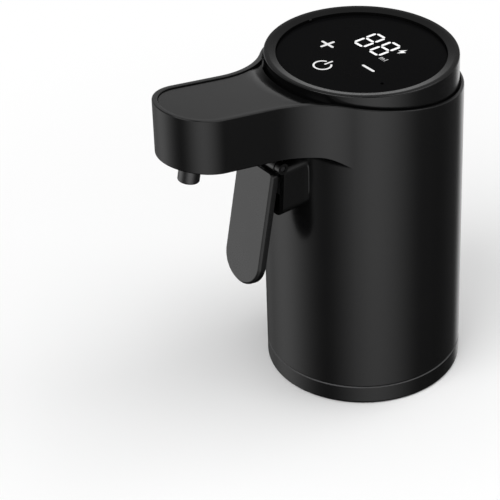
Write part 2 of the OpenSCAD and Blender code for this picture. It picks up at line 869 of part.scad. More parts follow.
module pump_cover() {
    color([0.72, 0.72, 0.7]) difference() {
        union() {
            translate([0, 0, pump_top]) linear_extrude(height = pump_cover_t) pump_plan();
            on_drive(pump_top) cylinder(r = motor_r + collar_wall, h = pump_cover_t + collar_h);
            translate([0, -outlet_y, cover_z]) cylinder(r = barb_r, h = barb_l);
        }
        on_drive(cover_z) cylinder(r = motor_r + slip, h = far);
        on_drive(0) cylinder(r = shaft_r + 2 * slip, h = far);
        on_drive(cover_z - seal_t) cylinder(r = seal_r + slip, h = far);
        translate([idler_x, -pump_y, pump_top - over])
            cylinder(r = shaft_r + slip, h = over + pin_seat + slip);
        translate([0, -outlet_y, 0]) cylinder(r = barb_bore, h = far);
        for (spot = pump_screw_spots) translate([spot[0], spot[1], pump_top - over])
            cylinder(r = pump_screw_r + slip, h = pump_cover_t);
    }
}

module pump_screws() {
    length = cover_z - pump_z - pump_screw_short;
    color("silver") for (spot = pump_screw_spots) translate([spot[0], spot[1], pump_z])
        screw(pump_screw_r, length);
}

module drive_gear() {
    color([0.9, 0.88, 0.8]) on_drive(gear_z) difference() {
        linear_extrude(height = gear_t) gear_outline();
        translate([0, 0, -over]) cylinder(r = shaft_r + press, h = gear_t + 2 * over);
    }
}

module idler_gear() {
    color([0.9, 0.88, 0.8]) translate([idler_x, -pump_y, gear_z]) difference() {
        rotate(180 + 180 / gear_teeth) linear_extrude(height = gear_t) gear_outline();
        translate([0, 0, -over]) cylinder(r = shaft_r + slip, h = gear_t + 2 * over);
    }
}

module idler_pin() {
    color("silver") translate([idler_x, -pump_y, pin_foot])
        cylinder(r = shaft_r, h = pump_top + pin_seat - pin_foot);
}

module shaft_seal() {
    color([0.1, 0.1, 0.1]) on_drive(cover_z - seal_t) ring(seal_r, shaft_r + slip, seal_t);
}

module motor_can() {
    color([0.62, 0.63, 0.65]) on_drive(cover_z) difference() {
        cylinder(r = motor_r, h = motor_can_l);
        translate([0, 0, motor_wall]) cylinder(r = motor_in_r, h = motor_can_l);
        translate([0, 0, -over]) cylinder(r = bush_r + slip, h = motor_can_l);
    }
}

module motor_magnets() {
    slot_w = 7;
    color([0.22, 0.22, 0.24]) on_drive(magnet_z) difference() {
        ring(motor_in_r - slip, motor_in_r - magnet_t, magnet_l);
        translate([-far, -slot_w / 2, -over]) cube([2 * far, slot_w, magnet_l + 2 * over]);
    }
}

module motor_bushes() {
    color([0.72, 0.52, 0.3]) for (z = [cover_z, motor_top - bush_l]) on_drive(z)
        ring(bush_r, shaft_r + slip, bush_l);
}

module motor_armature() {
    slot_w = 1.6;
    hub_r = core_r / 2;
    color([0.5, 0.42, 0.36]) on_drive(core_z) difference() {
        cylinder(r = core_r, h = core_l);
        translate([0, 0, -over]) cylinder(r = shaft_r + press, h = core_l + 2 * over);
        for (turn = [0, 120, 240]) rotate(turn) translate([hub_r, -slot_w / 2, -over])
            cube([core_r, slot_w, core_l + 2 * over]);
    }
}

module motor_commutator() {
    color([0.75, 0.45, 0.25]) on_drive(commutator_z) ring(commutator_r, shaft_r + press, commutator_l);
}

module motor_end_cap() {
    color([0.85, 0.85, 0.82]) on_drive(motor_cap_z) {
        ring(motor_r, bush_r + slip, motor_cap_l);
        for (x = [-terminal_x, terminal_x])
            translate([x - motor_tab_w / 2, -motor_tab_w / 2, motor_cap_l - motor_tab_h])
                cube([motor_tab_w, motor_tab_w, 2 * motor_tab_h]);
    }
}

module motor_shaft() {
    foot = pin_foot + shaft_lift;
    color("silver") on_drive(foot) cylinder(r = shaft_r, h = motor_top - shaft_short - foot);
}

module battery_cell() {
    color([0.16, 0.36, 0.55]) translate([cell_x, cell_y, cell_z]) {
        cylinder(r = cell_r, h = cell_l - cell_cap_t);
        translate([0, 0, cell_l - cell_cap_t]) cylinder(r = cell_cap_r, h = cell_cap_t);
    }
}

module battery_cradle() {
    color([0.16, 0.16, 0.17]) translate([cell_x, cell_y, deck_z]) difference() {
        cylinder(r = cradle_r, h = cradle_h);
        translate([0, 0, cradle_floor]) cylinder(r = cradle_bore, h = cradle_h);
    }
}

// Middle line of the outlet hose, from the pump's barb through the arm to the nozzle's elbow
function hose_path() = concat(
    [
        for (step = [0:3])
            [0, -outlet_y, cover_z + slip + step / 3 * (hose_bend_z - hose_straight - cover_z)]
    ],
    [
        for (step = [0:8]) let (a = step / 8 * hose_turn)
            [0, -outlet_y - hose_bend + hose_bend * cos(a), hose_bend_z + hose_bend * sin(a)]
    ],
    [
        for (step = [1:3]) let (y = hose_end_y + step / 3 * (hose_far_y - hose_end_y))
            [0, y, hose_line_z - y * tan(top_slope)]
    ]
);

module outlet_hose() {
    color([0.8, 0.8, 0.8]) hose(hose_path(), hose_r, hose_bore / 2, hose_sides, [1, 0, 0]);
}

module nozzle() {
    color([0.2, 0.2, 0.21]) on_rim() translate([0, nose_y, 0]) difference() {
        union() {
            translate([0, 0, -arm_t - nozzle_drop])
                cylinder(r = nozzle_r, h = arm_t + nozzle_drop - hose_depth);
            translate([0, 0, -arm_t]) cylinder(r = nozzle_neck_r, h = arm_floor);
            translate([0, 0, -floor_top]) cylinder(r = flange_r, h = flange_t);
            translate([0, 0, -floor_top]) cylinder(r = elbow_r, h = floor_top - elbow_top);
            for (x = [-ear_x, ear_x]) translate([x, 0, -floor_top])
                cylinder(r = ear_r, h = flange_t);
            translate([0, 0, -hose_depth]) rotate([-90, 0, 0])
                cylinder(r = barb_r, h = elbow_barb_l);
        }
        translate([0, 0, -arm_t - nozzle_drop - over])
            cylinder(d = nozzle_bore, h = arm_t + nozzle_drop + over - hose_depth);
        translate([0, 0, -hose_depth]) rotate([-90, 0, 0])
            cylinder(r = barb_bore, h = elbow_barb_l + over);
        translate([0, 0, -floor_top - over])
            ring(seal_groove_r + slip, nozzle_neck_r, over + seal_ring_t);
        for (x = [-ear_x, ear_x]) translate([x, 0, -arm_t])
            cylinder(r = pump_screw_r + slip, h = arm_t);
    }
}

module nozzle_seal() {
    color([0.1, 0.1, 0.1]) on_rim() translate([0, nose_y, -floor_top])
        ring(seal_groove_r, nozzle_neck_r + slip, seal_ring_t);
}

module nozzle_screws() {
    color("silver") for (x = [-ear_x, ear_x]) on_rim() translate([x, nose_y, flange_t - floor_top])
        rotate([180, 0, 0]) screw(pump_screw_r, flange_t + arm_floor - nozzle_screw_short);
}

module arm_cover() {
    color([0.06, 0.06, 0.065]) difference() {
        arm_slice(cover_border, cover_drop, cover_low);
        cylinder(r = groove_r + cover_gap, h = far);
    }
}

// Top of the bezel: chamfered edge, dished ring and the pocket for the lens
module bezel_top() {
    on_bezel() rotate_extrude() polygon([
        [0, -2 * far],
        [bezel_r + far, -2 * far],
        [bezel_r + far, -bezel_edge - far],
        [bezel_r - bezel_edge, 0],
        [bezel_r - bezel_edge - bezel_land, 0],
        [lens_r, -bezel_dish],
        [lens_r, web_z],
        [0, web_z]
    ]);
}

module display_bezel() {
    color([0.05, 0.05, 0.055]) difference() {
        union() {
            difference() {
                intersection() {
                    translate([0, 0, boss_top]) cylinder(r = bezel_r, h = far);
                    bezel_top();
                }
                below_rim(bezel_seat);
                intersection() {
                    translate([0, 0, boss_top]) cylinder(r = skirt_r, h = far);
                    on_bezel() translate([0, 0, web_z - lens_web]) below();
                }
            }
            for (angle = post_angles) on_bezel() rotate(angle) translate([post_ring, 0, board_z])
                cylinder(r = post_r, h = web_z - board_z - lens_web / 2);
        }
        for (angle = post_angles) on_bezel() rotate(angle) translate([post_ring, 0, board_z - over])
            cylinder(r = board_screw_r + slip, h = board_gap);
        on_bezel() digits_block(clear, far);
        for (spot = touch_spots) on_bezel() translate([spot[0], spot[1], board_z])
            cylinder(r = touch_hole, h = far);
    }
}

module display_lens() {
    color([0.02, 0.02, 0.025]) on_bezel() translate([0, 0, web_z])
        cylinder(r = lens_r - slip, h = lens_t);
}

// Block of the digit display on its board, grown all round by a margin
module digits_block(margin, h) {
    translate([digits_x - digits_w / 2 - margin, digits_y - digits_h / 2 - margin, board_z])
        cube([digits_w + 2 * margin, digits_h + 2 * margin, h]);
}

module digit_display() {
    color([0.1, 0.1, 0.1]) on_bezel() digits_block(0, web_z - board_z - clear);
}

module control_board() {
    color([0.05, 0.3, 0.15]) on_bezel() translate([0, 0, board_z - board_t]) difference() {
        cylinder(d = board_d, h = board_t);
        for (angle = post_angles) rotate(angle) translate([post_ring, 0, -over])
            cylinder(r = board_screw_r + slip, h = board_t + 2 * over);
    }
}

// Chips on the board's underside
module board_parts() {
    color([0.08, 0.08, 0.09]) on_bezel() translate([0, 0, board_z - board_t]) {
        for (i = [0:len(chip_spots) - 1]) chip(chip_spots[i], chip_sizes[i]);
    }
}

// Chip that hangs below the origin's plane, by its middle
module chip(middle, size) {
    translate([middle[0] - size[0] / 2, middle[1] - size[1] / 2, -size[2]]) cube(size);
}

// Middle line of a touch spring, which stands on the board below its mark on the lens
function touch_path() = [
    for (step = [0:touch_steps]) let (a = 360 * step / coil_points, climb = step / touch_steps)
        [
            touch_coil_r * cos(a),
            touch_coil_r * sin(a),
            touch_wire / 2 + climb * (touch_rise - touch_wire)
        ]
];

module touch_springs() {
    path = touch_path();
    echo(touch_spring_gap = coil_gap(path, coil_points, touch_wire));
    color("gold") for (spot = touch_spots) on_bezel()
        translate([spot[0], spot[1], board_z + touch_lift]) wire(path, touch_wire / 2, 6, [0, 0, 1]);
}

module board_screws() {
    color("silver") for (angle = post_angles) on_bezel() rotate(angle)
        translate([post_ring, 0, board_z - board_t]) screw(board_screw_r, board_gap - over);
}

module usb_board() {
    color([0.05, 0.3, 0.15]) translate([0, 0, usb_z - usb_board_t]) difference() {
        translate([-usb_board_w / 2, usb_board_y, 0]) cube([usb_board_w, usb_board_l, usb_board_t]);
        for (x = [-usb_screw_x, usb_screw_x]) translate([x, usb_screw_y, -over])
            cylinder(r = usb_screw_r + slip, h = usb_board_t + 2 * over);
    }
}

module usb_socket() {
    tongue_w = usb_w - 2 * usb_tongue_side;
    color("silver") translate([0, usb_mouth, usb_z + usb_h / 2]) rotate([90, 0, 0]) {
        difference() {
            linear_extrude(height = usb_l) slot_outline(usb_w, usb_h);
            translate([0, 0, -over]) linear_extrude(height = usb_l + over - bond)
                slot_outline(usb_w - 2 * usb_shell, usb_h - 2 * usb_shell);
        }
        translate([-tongue_w / 2, -usb_tongue_t / 2, usb_tongue_sunk])
            cube([tongue_w, usb_tongue_t, usb_l - usb_tongue_sunk]);
    }
}

module usb_screws() {
    color("silver") for (x = [-usb_screw_x, usb_screw_x]) translate([x, usb_screw_y, usb_z])
        rotate([180, 0, 0]) screw(usb_screw_r, usb_board_t + usb_shelf_h - usb_screw_short);
}

module switch_housing() {
    height = housing_top - housing_z;
    color([0.05, 0.05, 0.055]) difference() {
        union() {
            difference() {
                translate([0, 0, housing_z + height / 2]) rotate([90, 0, 0])
                    linear_extrude(height = hinge_y + lug_r)
                        round_rect(housing_w, height, housing_round);
                on_lever(lever_swing) translate([-far, stop_gap - lever_back - 2 * far, -far])
                    cube(2 * far);
            }
            for (side = [-1, 1]) translate([side * (lug_in + housing_half) / 2, -hinge_y, hinge_z])
                rotate([0, 90, 0]) cylinder(r = lug_r, h = housing_half - lug_in, center = true);
        }
        cylinder(r = body_r, h = far);
        translate([-lug_in, -2 * hinge_y, housing_z + housing_wall])
            cube([2 * lug_in, 2 * hinge_y - cavity_back, far]);
        translate([-switch_half - slip, -hinge_y, switch_z - slip])
            cube([2 * (switch_half + slip), hinge_y, switch_t + 2 * slip]);
        translate([-far, -hinge_y, hinge_z]) rotate([0, 90, 0]) cylinder(r = pin_r + press, h = 2 * far);
        for (x = [-switch_screw_x, switch_screw_x]) translate([x, 0, hinge_z - switch_screw_z])
            rotate([90, 0, 0])
                cylinder(r = switch_screw_r + slip, h = switch_face + switch_screw_l + clear);
    }
}

module switch_screws() {
    color("silver") for (x = [-switch_screw_x, switch_screw_x])
        translate([x, -switch_face, hinge_z - switch_screw_z]) rotate([90, 0, 0])
            screw(switch_screw_r, switch_screw_l);
}

module micro_switch() {
    color([0.12, 0.12, 0.13]) difference() {
        union() {
            translate([-switch_half, -switch_front, switch_z])
                cube([2 * switch_half, switch_front - switch_back, switch_t]);
            for (x = [-terminal_pitch, 0, terminal_pitch])
                translate([x - terminal_w / 2, -switch_back - bond, plunger_z - terminal_t / 2])
                    cube([terminal_w, terminal_l + bond, terminal_t]);
        }
        translate([0, plunger_l + plunger_out - plunger_tip, plunger_z]) rotate([90, 0, 0])
            cylinder(r = plunger_r + slip, h = far);
    }
}

module switch_plunger() {
    color([0.7, 0.15, 0.12]) translate([0, -plunger_tip + plunger_r, plunger_z]) rotate([-90, 0, 0]) {
        cylinder(r = plunger_r, h = plunger_l - plunger_r);
        sphere(r = plunger_r);
    }
}

module trigger_lever() {
    color([0.09, 0.09, 0.095]) on_lever() difference() {
        union() {
            translate([0, -lever_back, 0]) rotate([90, 0, 0]) linear_extrude(height = lever_t) {
                translate([-lever_half, lever_half - lever_top - lever_l])
                    square([lever_w, lever_l - lever_half]);
                translate([0, lever_half - lever_top - lever_l]) circle(r = lever_half);
            }
            for (side = [-1, 1]) {
                translate([side * (knuckle_in + knuckle_out) / 2, 0, 0]) rotate([0, 90, 0])
                    cylinder(r = knuckle_r, h = knuckle_out - knuckle_in, center = true);
                translate([side > 0 ? knuckle_in : -knuckle_out, -lever_back - bond, -lever_top - bond])
                    cube([
                        knuckle_out - knuckle_in,
                        knuckle_web * knuckle_r + lever_back + bond,
                        lever_top + bond
                    ]);
            }
            translate([-pusher_half, -lever_back - bond, -pusher_foot])
                cube([2 * pusher_half, pusher_back + lever_back + bond, pusher_foot - pusher_top]);
        }
        translate([-far, 0, 0]) rotate([0, 90, 0]) cylinder(r = pin_r + slip, h = 2 * far);
    }
}

module hinge_pin() {
    color("silver") translate([0, -hinge_y, hinge_z]) rotate([0, 90, 0])
        cylinder(r = pin_r, h = housing_w - pin_short, center = true);
}

// Middle line of the trigger spring's coil, around the hinge pin
function spring_coil() = [
    for (step = [0:coil_steps - 1]) let (a = 360 * step / coil_points)
        [
            -coil_half + (step + 0.5) / coil_steps * 2 * coil_half,
            coil_r * cos(a),
            coil_r * sin(a)
        ]
];

// A leg down the lever's back, the coil and a leg over the housing
function trigger_spring_path() = concat(
    [for (step = [0:2]) [-coil_half, coil_r, -spring_bend - (1 - step / 2) * spring_leg]],
    spring_coil(),
    [for (step = [0:2]) [coil_half, spring_bend + step / 2 * spring_foot, -coil_r]]
);

module trigger_spring() {
    echo(trigger_spring_gap = coil_gap(spring_coil(), coil_points, spring_wire));
    color("silver") on_lever() wire(trigger_spring_path(), spring_wire / 2, 6, [1, 0, 0]);
}

// Middle line of a lead that rises from its terminal to the board's underside
function lead(foot, head) = [
    foot,
    [foot[0], foot[1], foot[2] + (head[2] - foot[2]) / 3],
    (foot + head) / 2,
    [head[0], head[1], foot[2] + (head[2] - foot[2]) * 2 / 3],
    head
];

module motor_leads() {
    color([0.7, 0.1, 0.1]) for (side = [-1, 1]) {
        foot = [drive_x + side * terminal_x, -pump_y, motor_top + motor_tab_h + solder];
        head = [foot[0] - side * motor_lead_in, foot[1] - motor_lead_fore, lead_top];
        wire(lead(foot, head), lead_r, lead_sides, lead_ref);
    }
}

module battery_leads() {
    cap = [cell_x, cell_y, cell_z + cell_l + solder];
    edge = [cell_x - cell_r + lead_r, cell_y, cap[2] - cell_cap_t];
    color([0.7, 0.1, 0.1]) for (foot = [cap, edge]) {
        head = [foot[0] - cell_lead_in, foot[1] - cell_lead_fore, lead_top];
        wire(lead(foot, head), lead_r, lead_sides, lead_ref);
    }
}

module switch_leads() {
    foot_y = terminal_l - lead_r - clear - switch_back;
    foot_z = plunger_z + terminal_t / 2 + solder;
    color([0.7, 0.1, 0.1]) for (side = [-1, 1]) {
        foot = [side * terminal_pitch, foot_y, foot_z];
        head = [foot[0] + side * switch_lead_out, foot_y + switch_lead_back, lead_top];
        wire(lead(foot, head), lead_r, lead_sides, lead_ref);
    }
}

body_shell();
base_ring();
base_screws();
neck_sleeve();
neck_gasket();
bottle_stopper();
intake_tube();
vent_valve();
pump_mounts();
pump_body();
pump_cover();
pump_screws();
drive_gear();
idler_gear();
idler_pin();
shaft_seal();
motor_can();
motor_magnets();
motor_bushes();
motor_armature();
motor_commutator();
motor_end_cap();
motor_shaft();
battery_cell();
battery_cradle();
outlet_hose();
nozzle();
nozzle_seal();
nozzle_screws();
arm_cover();
display_bezel();
display_lens();
digit_display();
control_board();
board_parts();
touch_springs();
board_screws();
usb_board();
usb_socket();
usb_screws();
switch_housing();
switch_screws();
micro_switch();
switch_plunger();
trigger_lever();
hinge_pin();
trigger_spring();
motor_leads();
battery_leads();
switch_leads();
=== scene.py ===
import math

import bmesh
import bpy
from mathutils import Matrix, Vector


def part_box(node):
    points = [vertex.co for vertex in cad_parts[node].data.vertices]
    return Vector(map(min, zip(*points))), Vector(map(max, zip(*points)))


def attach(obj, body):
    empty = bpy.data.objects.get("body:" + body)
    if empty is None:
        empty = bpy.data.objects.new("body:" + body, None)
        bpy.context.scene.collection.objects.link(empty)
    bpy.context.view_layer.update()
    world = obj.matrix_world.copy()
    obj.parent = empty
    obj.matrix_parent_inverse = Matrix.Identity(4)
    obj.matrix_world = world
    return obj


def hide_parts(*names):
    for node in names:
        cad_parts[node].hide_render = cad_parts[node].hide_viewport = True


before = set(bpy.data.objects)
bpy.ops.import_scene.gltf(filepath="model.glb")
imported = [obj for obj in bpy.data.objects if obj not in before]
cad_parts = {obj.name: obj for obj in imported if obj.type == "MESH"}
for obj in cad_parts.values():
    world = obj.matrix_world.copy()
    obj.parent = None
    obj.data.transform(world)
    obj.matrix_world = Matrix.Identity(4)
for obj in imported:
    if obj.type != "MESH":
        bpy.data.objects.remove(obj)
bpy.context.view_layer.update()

# Camera
# The pourer is seen from above its arm's right side. A long lens keeps its upright edges nearly
# parallel, and the view has a slight roll.
camera_place = Vector((0.44348, -0.37165, 0.42451))
camera_right = Vector((0.61305, 0.78945, -0.03070))
camera_up = Vector((-0.42482, 0.36215, 0.82968))
camera_turn = Matrix((camera_right, camera_up, camera_right.cross(camera_up))).transposed()
camera = bpy.data.objects.new("camera", bpy.data.cameras.new("camera"))
camera.data.sensor_width = 36.0
camera.data.lens = 168.64
camera.matrix_world = Matrix.Translation(camera_place) @ camera_turn.to_4x4()
bpy.context.scene.collection.objects.link(camera)
bpy.context.scene.camera = camera
bpy.context.scene.view_settings.view_transform = "Standard"


# Studio
# A pale floor under the pourer, a white room and two large softboxes. Gloss alone sees a dimmer ceiling
# and bright and dark strips round the room's foot, which draw the long soft lights on the plastic.
class Socket:
    """One output in a node tree; sums on it add Math nodes to the tree."""

    def __init__(self, tree, output=None):
        self.tree = tree
        self.output = output

    def node(self, kind, settings=None, sockets=None, out=0):
        """Add a node with its settings, then its sockets' values or links, and give one output."""
        added = self.tree.nodes.new(kind)
        for name, value in (settings or {}).items():
            if name == "stops":
                added.color_ramp.interpolation = "EASE"
                for number, (place, shade) in enumerate(value):
                    stops = added.color_ramp.elements
                    stop = stops[number] if number < len(stops) else stops.new(place)
                    stop.position = place
                    stop.color = (shade, shade, shade, 1.0)
            else:
                setattr(added, name, value)
        self.fill(added, sockets or {})
        return Socket(self.tree, added.outputs[out] if added.outputs else None)

    def fill(self, node, sockets):
        """Set a node's sockets, each to a value or to a link from another output."""
        for name, value in sockets.items():
            if isinstance(value, Socket):
                self.tree.links.new(value.output, node.inputs[name])
            else:
                node.inputs[name].default_value = value

    def soft_step(self, start, end, low=0.0, high=1.0):
        """Low before this output's start, high past its end, and an eased rise between them."""
        return self.node("ShaderNodeMapRange", {"interpolation_type": "SMOOTHSTEP"}, {
            "Value": self, "From Min": start, "From Max": end, "To Min": low, "To Max": high})

    def tint(self, colour, low, high):
        """A colour whose strength goes from low to high with this output."""
        dark, light = (tuple(part * level for part in colour) + (1.0,) for level in (low, high))
        return self.node("ShaderNodeMix", {"data_type": "RGBA"}, {0: self, 6: dark, 7: light}, out=2)

    def sum(self, operation, *values):
        """A Math node over outputs and numbers."""
        return self.node("ShaderNodeMath", {"operation": operation}, dict(enumerate(values)))

    def __add__(self, other):
        return self.sum("ADD", self, other)

    def __sub__(self, other):
        return self.sum("SUBTRACT", self, other)

    def __rsub__(self, other):
        return self.sum("SUBTRACT", other, self)

    def __mul__(self, other):
        return self.sum("MULTIPLY", self, other)

    __radd__ = __add__
    __rmul__ = __mul__


def ray_kind(tree, *names):
    """One for rays of the kinds that are named, such as the camera's, and nought for the rest."""
    kinds = [tree.node("ShaderNodeLightPath", out=f"Is {name} Ray") for name in names]
    return tree.sum("MINIMUM", sum(kinds, start=0.0), 1.0)


def new_material(name):
    """A new material, its tree of nodes and the output that gives a point's place on the piece."""
    material = bpy.data.materials.new(name)
    material.use_nodes = True
    shade = Socket(material.node_tree)
    return material, shade, shade.node("ShaderNodeTexCoord", out="Object")


room_light = 0.48
strip_light = 2.0
horizon = (-0.25, 0.05)
overhead = (0.02, 0.42)
overhead_light = 0.29
strip_fall = 3.2
strip_level = -0.545
strips = (
    (-180, 0.25), (-133, 1.02), (-84, 0.16), (-26, 1.54), (34, 0.14),
    (60, 0.08), (98, 0.1), (122, 1.0), (150, 0.05), (180, 0.25),
)
room = bpy.data.worlds.new("room")
room.use_nodes = True
room.node_tree.nodes.clear()
shade = Socket(room.node_tree)
way = shade.node("ShaderNodeTexCoord", out="Generated")
x, y, z = (shade.node("ShaderNodeSeparateXYZ", sockets={"Vector": way}, out=axis) for axis in "XYZ")
turn = shade.sum("ARCTAN2", y, x) * (0.5 / math.pi) + 0.5
strip = shade.node("ShaderNodeValToRGB", {
    "stops": [(azimuth / 360 + 0.5, level / strip_light) for azimuth, level in strips]}, {"Fac": turn})
strip = strip * strip_light * shade.sum("MAXIMUM", 1.0 + (z - strip_level) * strip_fall, 0.0)
above = z.soft_step(*horizon)
sky = z.soft_step(*overhead, 1.0, overhead_light)
mirrored = ray_kind(shade, "Glossy") * (strip + above * (sky - strip) - room_light)
plain = ray_kind(shade, "Camera", "Transmission") * (1.0 - room_light)
glow = shade.node("ShaderNodeBackground", sockets={
    "Color": (1.0, 1.0, 1.0, 1.0), "Strength": room_light + plain + mirrored})
shade.node("ShaderNodeOutputWorld", sockets={"Surface": glow})
bpy.context.scene.world = room

floor_radius = 2.0
floor_pale = 0.93
floor_clear = (0.05, 0.22)
floor_mesh = bmesh.new()
bmesh.ops.create_circle(floor_mesh, cap_ends=True, segments=96, radius=floor_radius)
floor_data = bpy.data.meshes.new("floor")
floor_mesh.to_mesh(floor_data)
floor_mesh.free()
floor = bpy.data.objects.new("floor", floor_data)
floor.visible_glossy = False
bpy.context.scene.collection.objects.link(floor)
paper, shade, place = new_material("floor_paper")
shade.tree.nodes.remove(shade.tree.nodes["Principled BSDF"])
reach = shade.node("ShaderNodeVectorMath", {"operation": "LENGTH"}, {0: place}, out="Value")
away = reach.soft_step(*floor_clear)
matt = shade.node("ShaderNodeBsdfDiffuse", sockets={"Color": (floor_pale,) * 3 + (1.0,)})
white = shade.node("ShaderNodeEmission", sockets={"Strength": 1.0})
clear = away * ray_kind(shade, "Camera", "Transmission")
cover = shade.node("ShaderNodeMixShader", sockets={0: clear, 1: matt, 2: white})
shade.fill(shade.tree.nodes["Material Output"], {"Surface": cover})
floor_data.materials.append(paper)


def softbox(name, azimuth, rise, distance, size, strength):
    """A square soft light that faces the body from a direction in degrees; strength is radiance."""
    lamp = bpy.data.objects.new(name, bpy.data.lights.new(name, "AREA"))
    lamp.data.size = size
    lamp.data.energy = strength * math.pi * size * size
    turn, lift = math.radians(azimuth), math.radians(rise)
    away = Vector((math.cos(turn) * math.cos(lift), math.sin(turn) * math.cos(lift), math.sin(lift)))
    lamp.location = away * distance
    lamp.rotation_euler = away.to_track_quat("Z", "Y").to_euler()
    bpy.context.scene.collection.objects.link(lamp)


softbox("key_softbox", azimuth=-75, rise=55, distance=0.9, size=0.6, strength=3.4)
softbox("fill_softbox", azimuth=60, rise=60, distance=0.9, size=0.6, strength=2.6)

# Base ring
# The lowest ring of the casing, turned in black plastic with a rounded foot. Three screws from
# below pull it against the body. The chamfer along its upper edge is painted a lighter grey, a painted
# highlight.
MM = 0.001
body_r = 1000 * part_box("base_ring")[1][0]
base_h = 6.0
base_round = 0.9
base_floor = 4.0
seam_chamfer = 0.28
seam_top = 6.3
seam_land_r = body_r - 1.15
spigot_out = 26.95
spigot_in = 25.45
spigot_top = 9.3
sleeve_seat = 19.65
lip_h = 1.5
neck_r = 18.0
lip_chamfer = 0.3
boss_ring = 23.3
boss_angles = (90, 210, 330)
base_screw_r = 1.1
base_head_z = 1.8
well_r = 2.28
screw_slip = 0.05
sharp_angle = 32


def arc(x, y, radius, start, end, steps):
    """Points along an arc without its last one, with the angles in degrees."""
    turns = [math.radians(start + (end - start) * step / steps) for step in range(steps)]
    return [(x + radius * math.cos(turn), y + radius * math.sin(turn)) for turn in turns]


def revolve(mesh, profile, place=Matrix(), steps=144):
    """Turn a closed profile of (radius, height) points about Z, then set it in its place."""
    rings = []
    for radius, height in profile:
        count = steps if radius > 0 else 1
        turns = [2 * math.pi * step / count for step in range(count)]
        rings.append([
            mesh.verts.new(place @ Vector((radius * math.cos(t), radius * math.sin(t), height)))
            for t in turns
        ])
    for low, high in zip(rings, rings[1:] + rings[:1]):
        for step in range(steps):
            corners = [ring[number % len(ring)] for ring, number in (
                (low, step), (low, step + 1), (high, step + 1), (high, step))]
            corners = list(dict.fromkeys(corners))
            if len(corners) > 2:
                mesh.faces.new(corners)


def moulded(name, colour, shine, roughness, grain=0.25, depth=0.004, clouds=0.1):
    """Moulded plastic or rubber: an eroded grain in mm over a colour that clouds a little."""
    material, shade, place = new_material(name)
    cloud = shade.node("ShaderNodeTexNoise", sockets={"Vector": place, "Scale": 90.0, "Detail": 3.0})
    speck = shade.node("ShaderNodeTexNoise", sockets={"Vector": place, "Scale": 1 / (grain * MM)})
    shade.fill(shade.tree.nodes["Principled BSDF"], {
        "Specular IOR Level": shine,
        "Base Color": cloud.tint(colour, 1 - clouds, 1 + clouds),
        "Roughness": roughness + (cloud - 0.5) * 0.06 + (speck - 0.5) * 0.05,
        "Normal": shade.node("ShaderNodeBump", sockets={
            "Strength": 0.6, "Distance": depth * MM, "Height": speck}),
    })
    return material


def made(mesh, name, material, sharp=sharp_angle):
    """Close a mesh drawn in mm and make it an object in metres, smooth up to a sharp angle."""
    bmesh.ops.remove_doubles(mesh, verts=mesh.verts, dist=1e-4)
    bmesh.ops.scale(mesh, vec=(MM, MM, MM), verts=mesh.verts)
    bmesh.ops.recalc_face_normals(mesh, faces=mesh.faces)
    data = bpy.data.meshes.new(name)
    mesh.to_mesh(data)
    mesh.free()
    data.materials.append(material)
    data.shade_smooth()
    data.set_sharp_from_angle(angle=math.radians(sharp))
    piece = bpy.data.objects.new(name, data)
    bpy.context.scene.collection.objects.link(piece)
    return piece


def turned(name, material, profile, place=Matrix(), steps=144):
    """An object turned from one closed profile."""
    mesh = bmesh.new()
    revolve(mesh, profile, place, steps)
    return made(mesh, name, material)


def steady(piece):
    """Take the shading from the large faces, so that flat ones stay flat beside their rounds."""
    weigh = piece.modifiers.new("steady", "WEIGHTED_NORMAL")
    weigh.keep_sharp = True
    weigh.weight = 100


def solid_of(piece):
    """The mesh that a piece's modifiers give, with the modifiers gone."""
    shown = piece.evaluated_get(bpy.context.evaluated_depsgraph_get())
    data = bpy.data.meshes.new_from_object(shown)
    piece.modifiers.clear()
    piece.data = data
    return piece


def cut(piece, mesh, name):
    """Cut a shape drawn in mm out of a piece."""
    tool = made(mesh, name, piece.data.materials[0])
    carve = piece.modifiers.new("carve", "BOOLEAN")
    carve.operation = "DIFFERENCE"
    carve.solver = "EXACT"
    carve.object = tool
    solid_of(piece)
    bpy.data.objects.remove(tool)
    piece.data.set_sharp_from_angle(angle=math.radians(sharp_angle))


def spun(angles, place=Matrix()):
    """A place turned about Z by each angle in degrees."""
    return [Matrix.Rotation(math.radians(angle), 4, "Z") @ place for angle in angles]


def paint_chosen_faces(piece, material, chosen):
    """Give the faces that a test chooses by their middle in mm a second finish."""
    piece.data.materials.append(material)
    for face in piece.data.polygons:
        if chosen(face.center / MM):
            face.material_index = 1


black_plastic = moulded("black_plastic", (0.003, 0.003, 0.0031), shine=0.3, roughness=0.2)
base = turned("base_ring_skin", black_plastic, [
    (neck_r, lip_chamfer),
    (neck_r + lip_chamfer, 0),
    *arc(body_r - base_round, base_round, base_round, -90, 0, 8),
    (body_r, base_round),
    (body_r, base_h - seam_chamfer),
    (body_r - seam_chamfer, base_h),
    (seam_land_r, base_h),
    (seam_land_r, seam_top),
    (spigot_out, seam_top),
    (spigot_out, spigot_top),
    (spigot_in, spigot_top),
    (spigot_in, base_floor),
    (sleeve_seat, base_floor),
    (sleeve_seat, lip_h),
    (neck_r, lip_h),
])
wells = bmesh.new()
for place in spun(boss_angles, Matrix.Translation((boss_ring, 0, 0))):
    revolve(wells, [
        (0, -lip_h),
        (well_r, -lip_h),
        (well_r, base_head_z),
        (base_screw_r + screw_slip, base_head_z),
        (base_screw_r + screw_slip, base_h),
        (0, base_h),
    ], place, 48)
cut(base, wells, "wells")
# The chamfer's faces are painted a lighter grey: a painted highlight for the light this edge catches.
seam_painted_highlight = moulded("seam_painted_highlight", (0.075, 0.075, 0.076), shine=0.12, roughness=0.45, clouds=0.2)
paint_chosen_faces(base, seam_painted_highlight, lambda spot: (
    spot.z > base_h - seam_chamfer and spot.xy.length > body_r - seam_chamfer and spot.z < base_h))
steady(base)
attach(base, "housing")
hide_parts("base_ring")

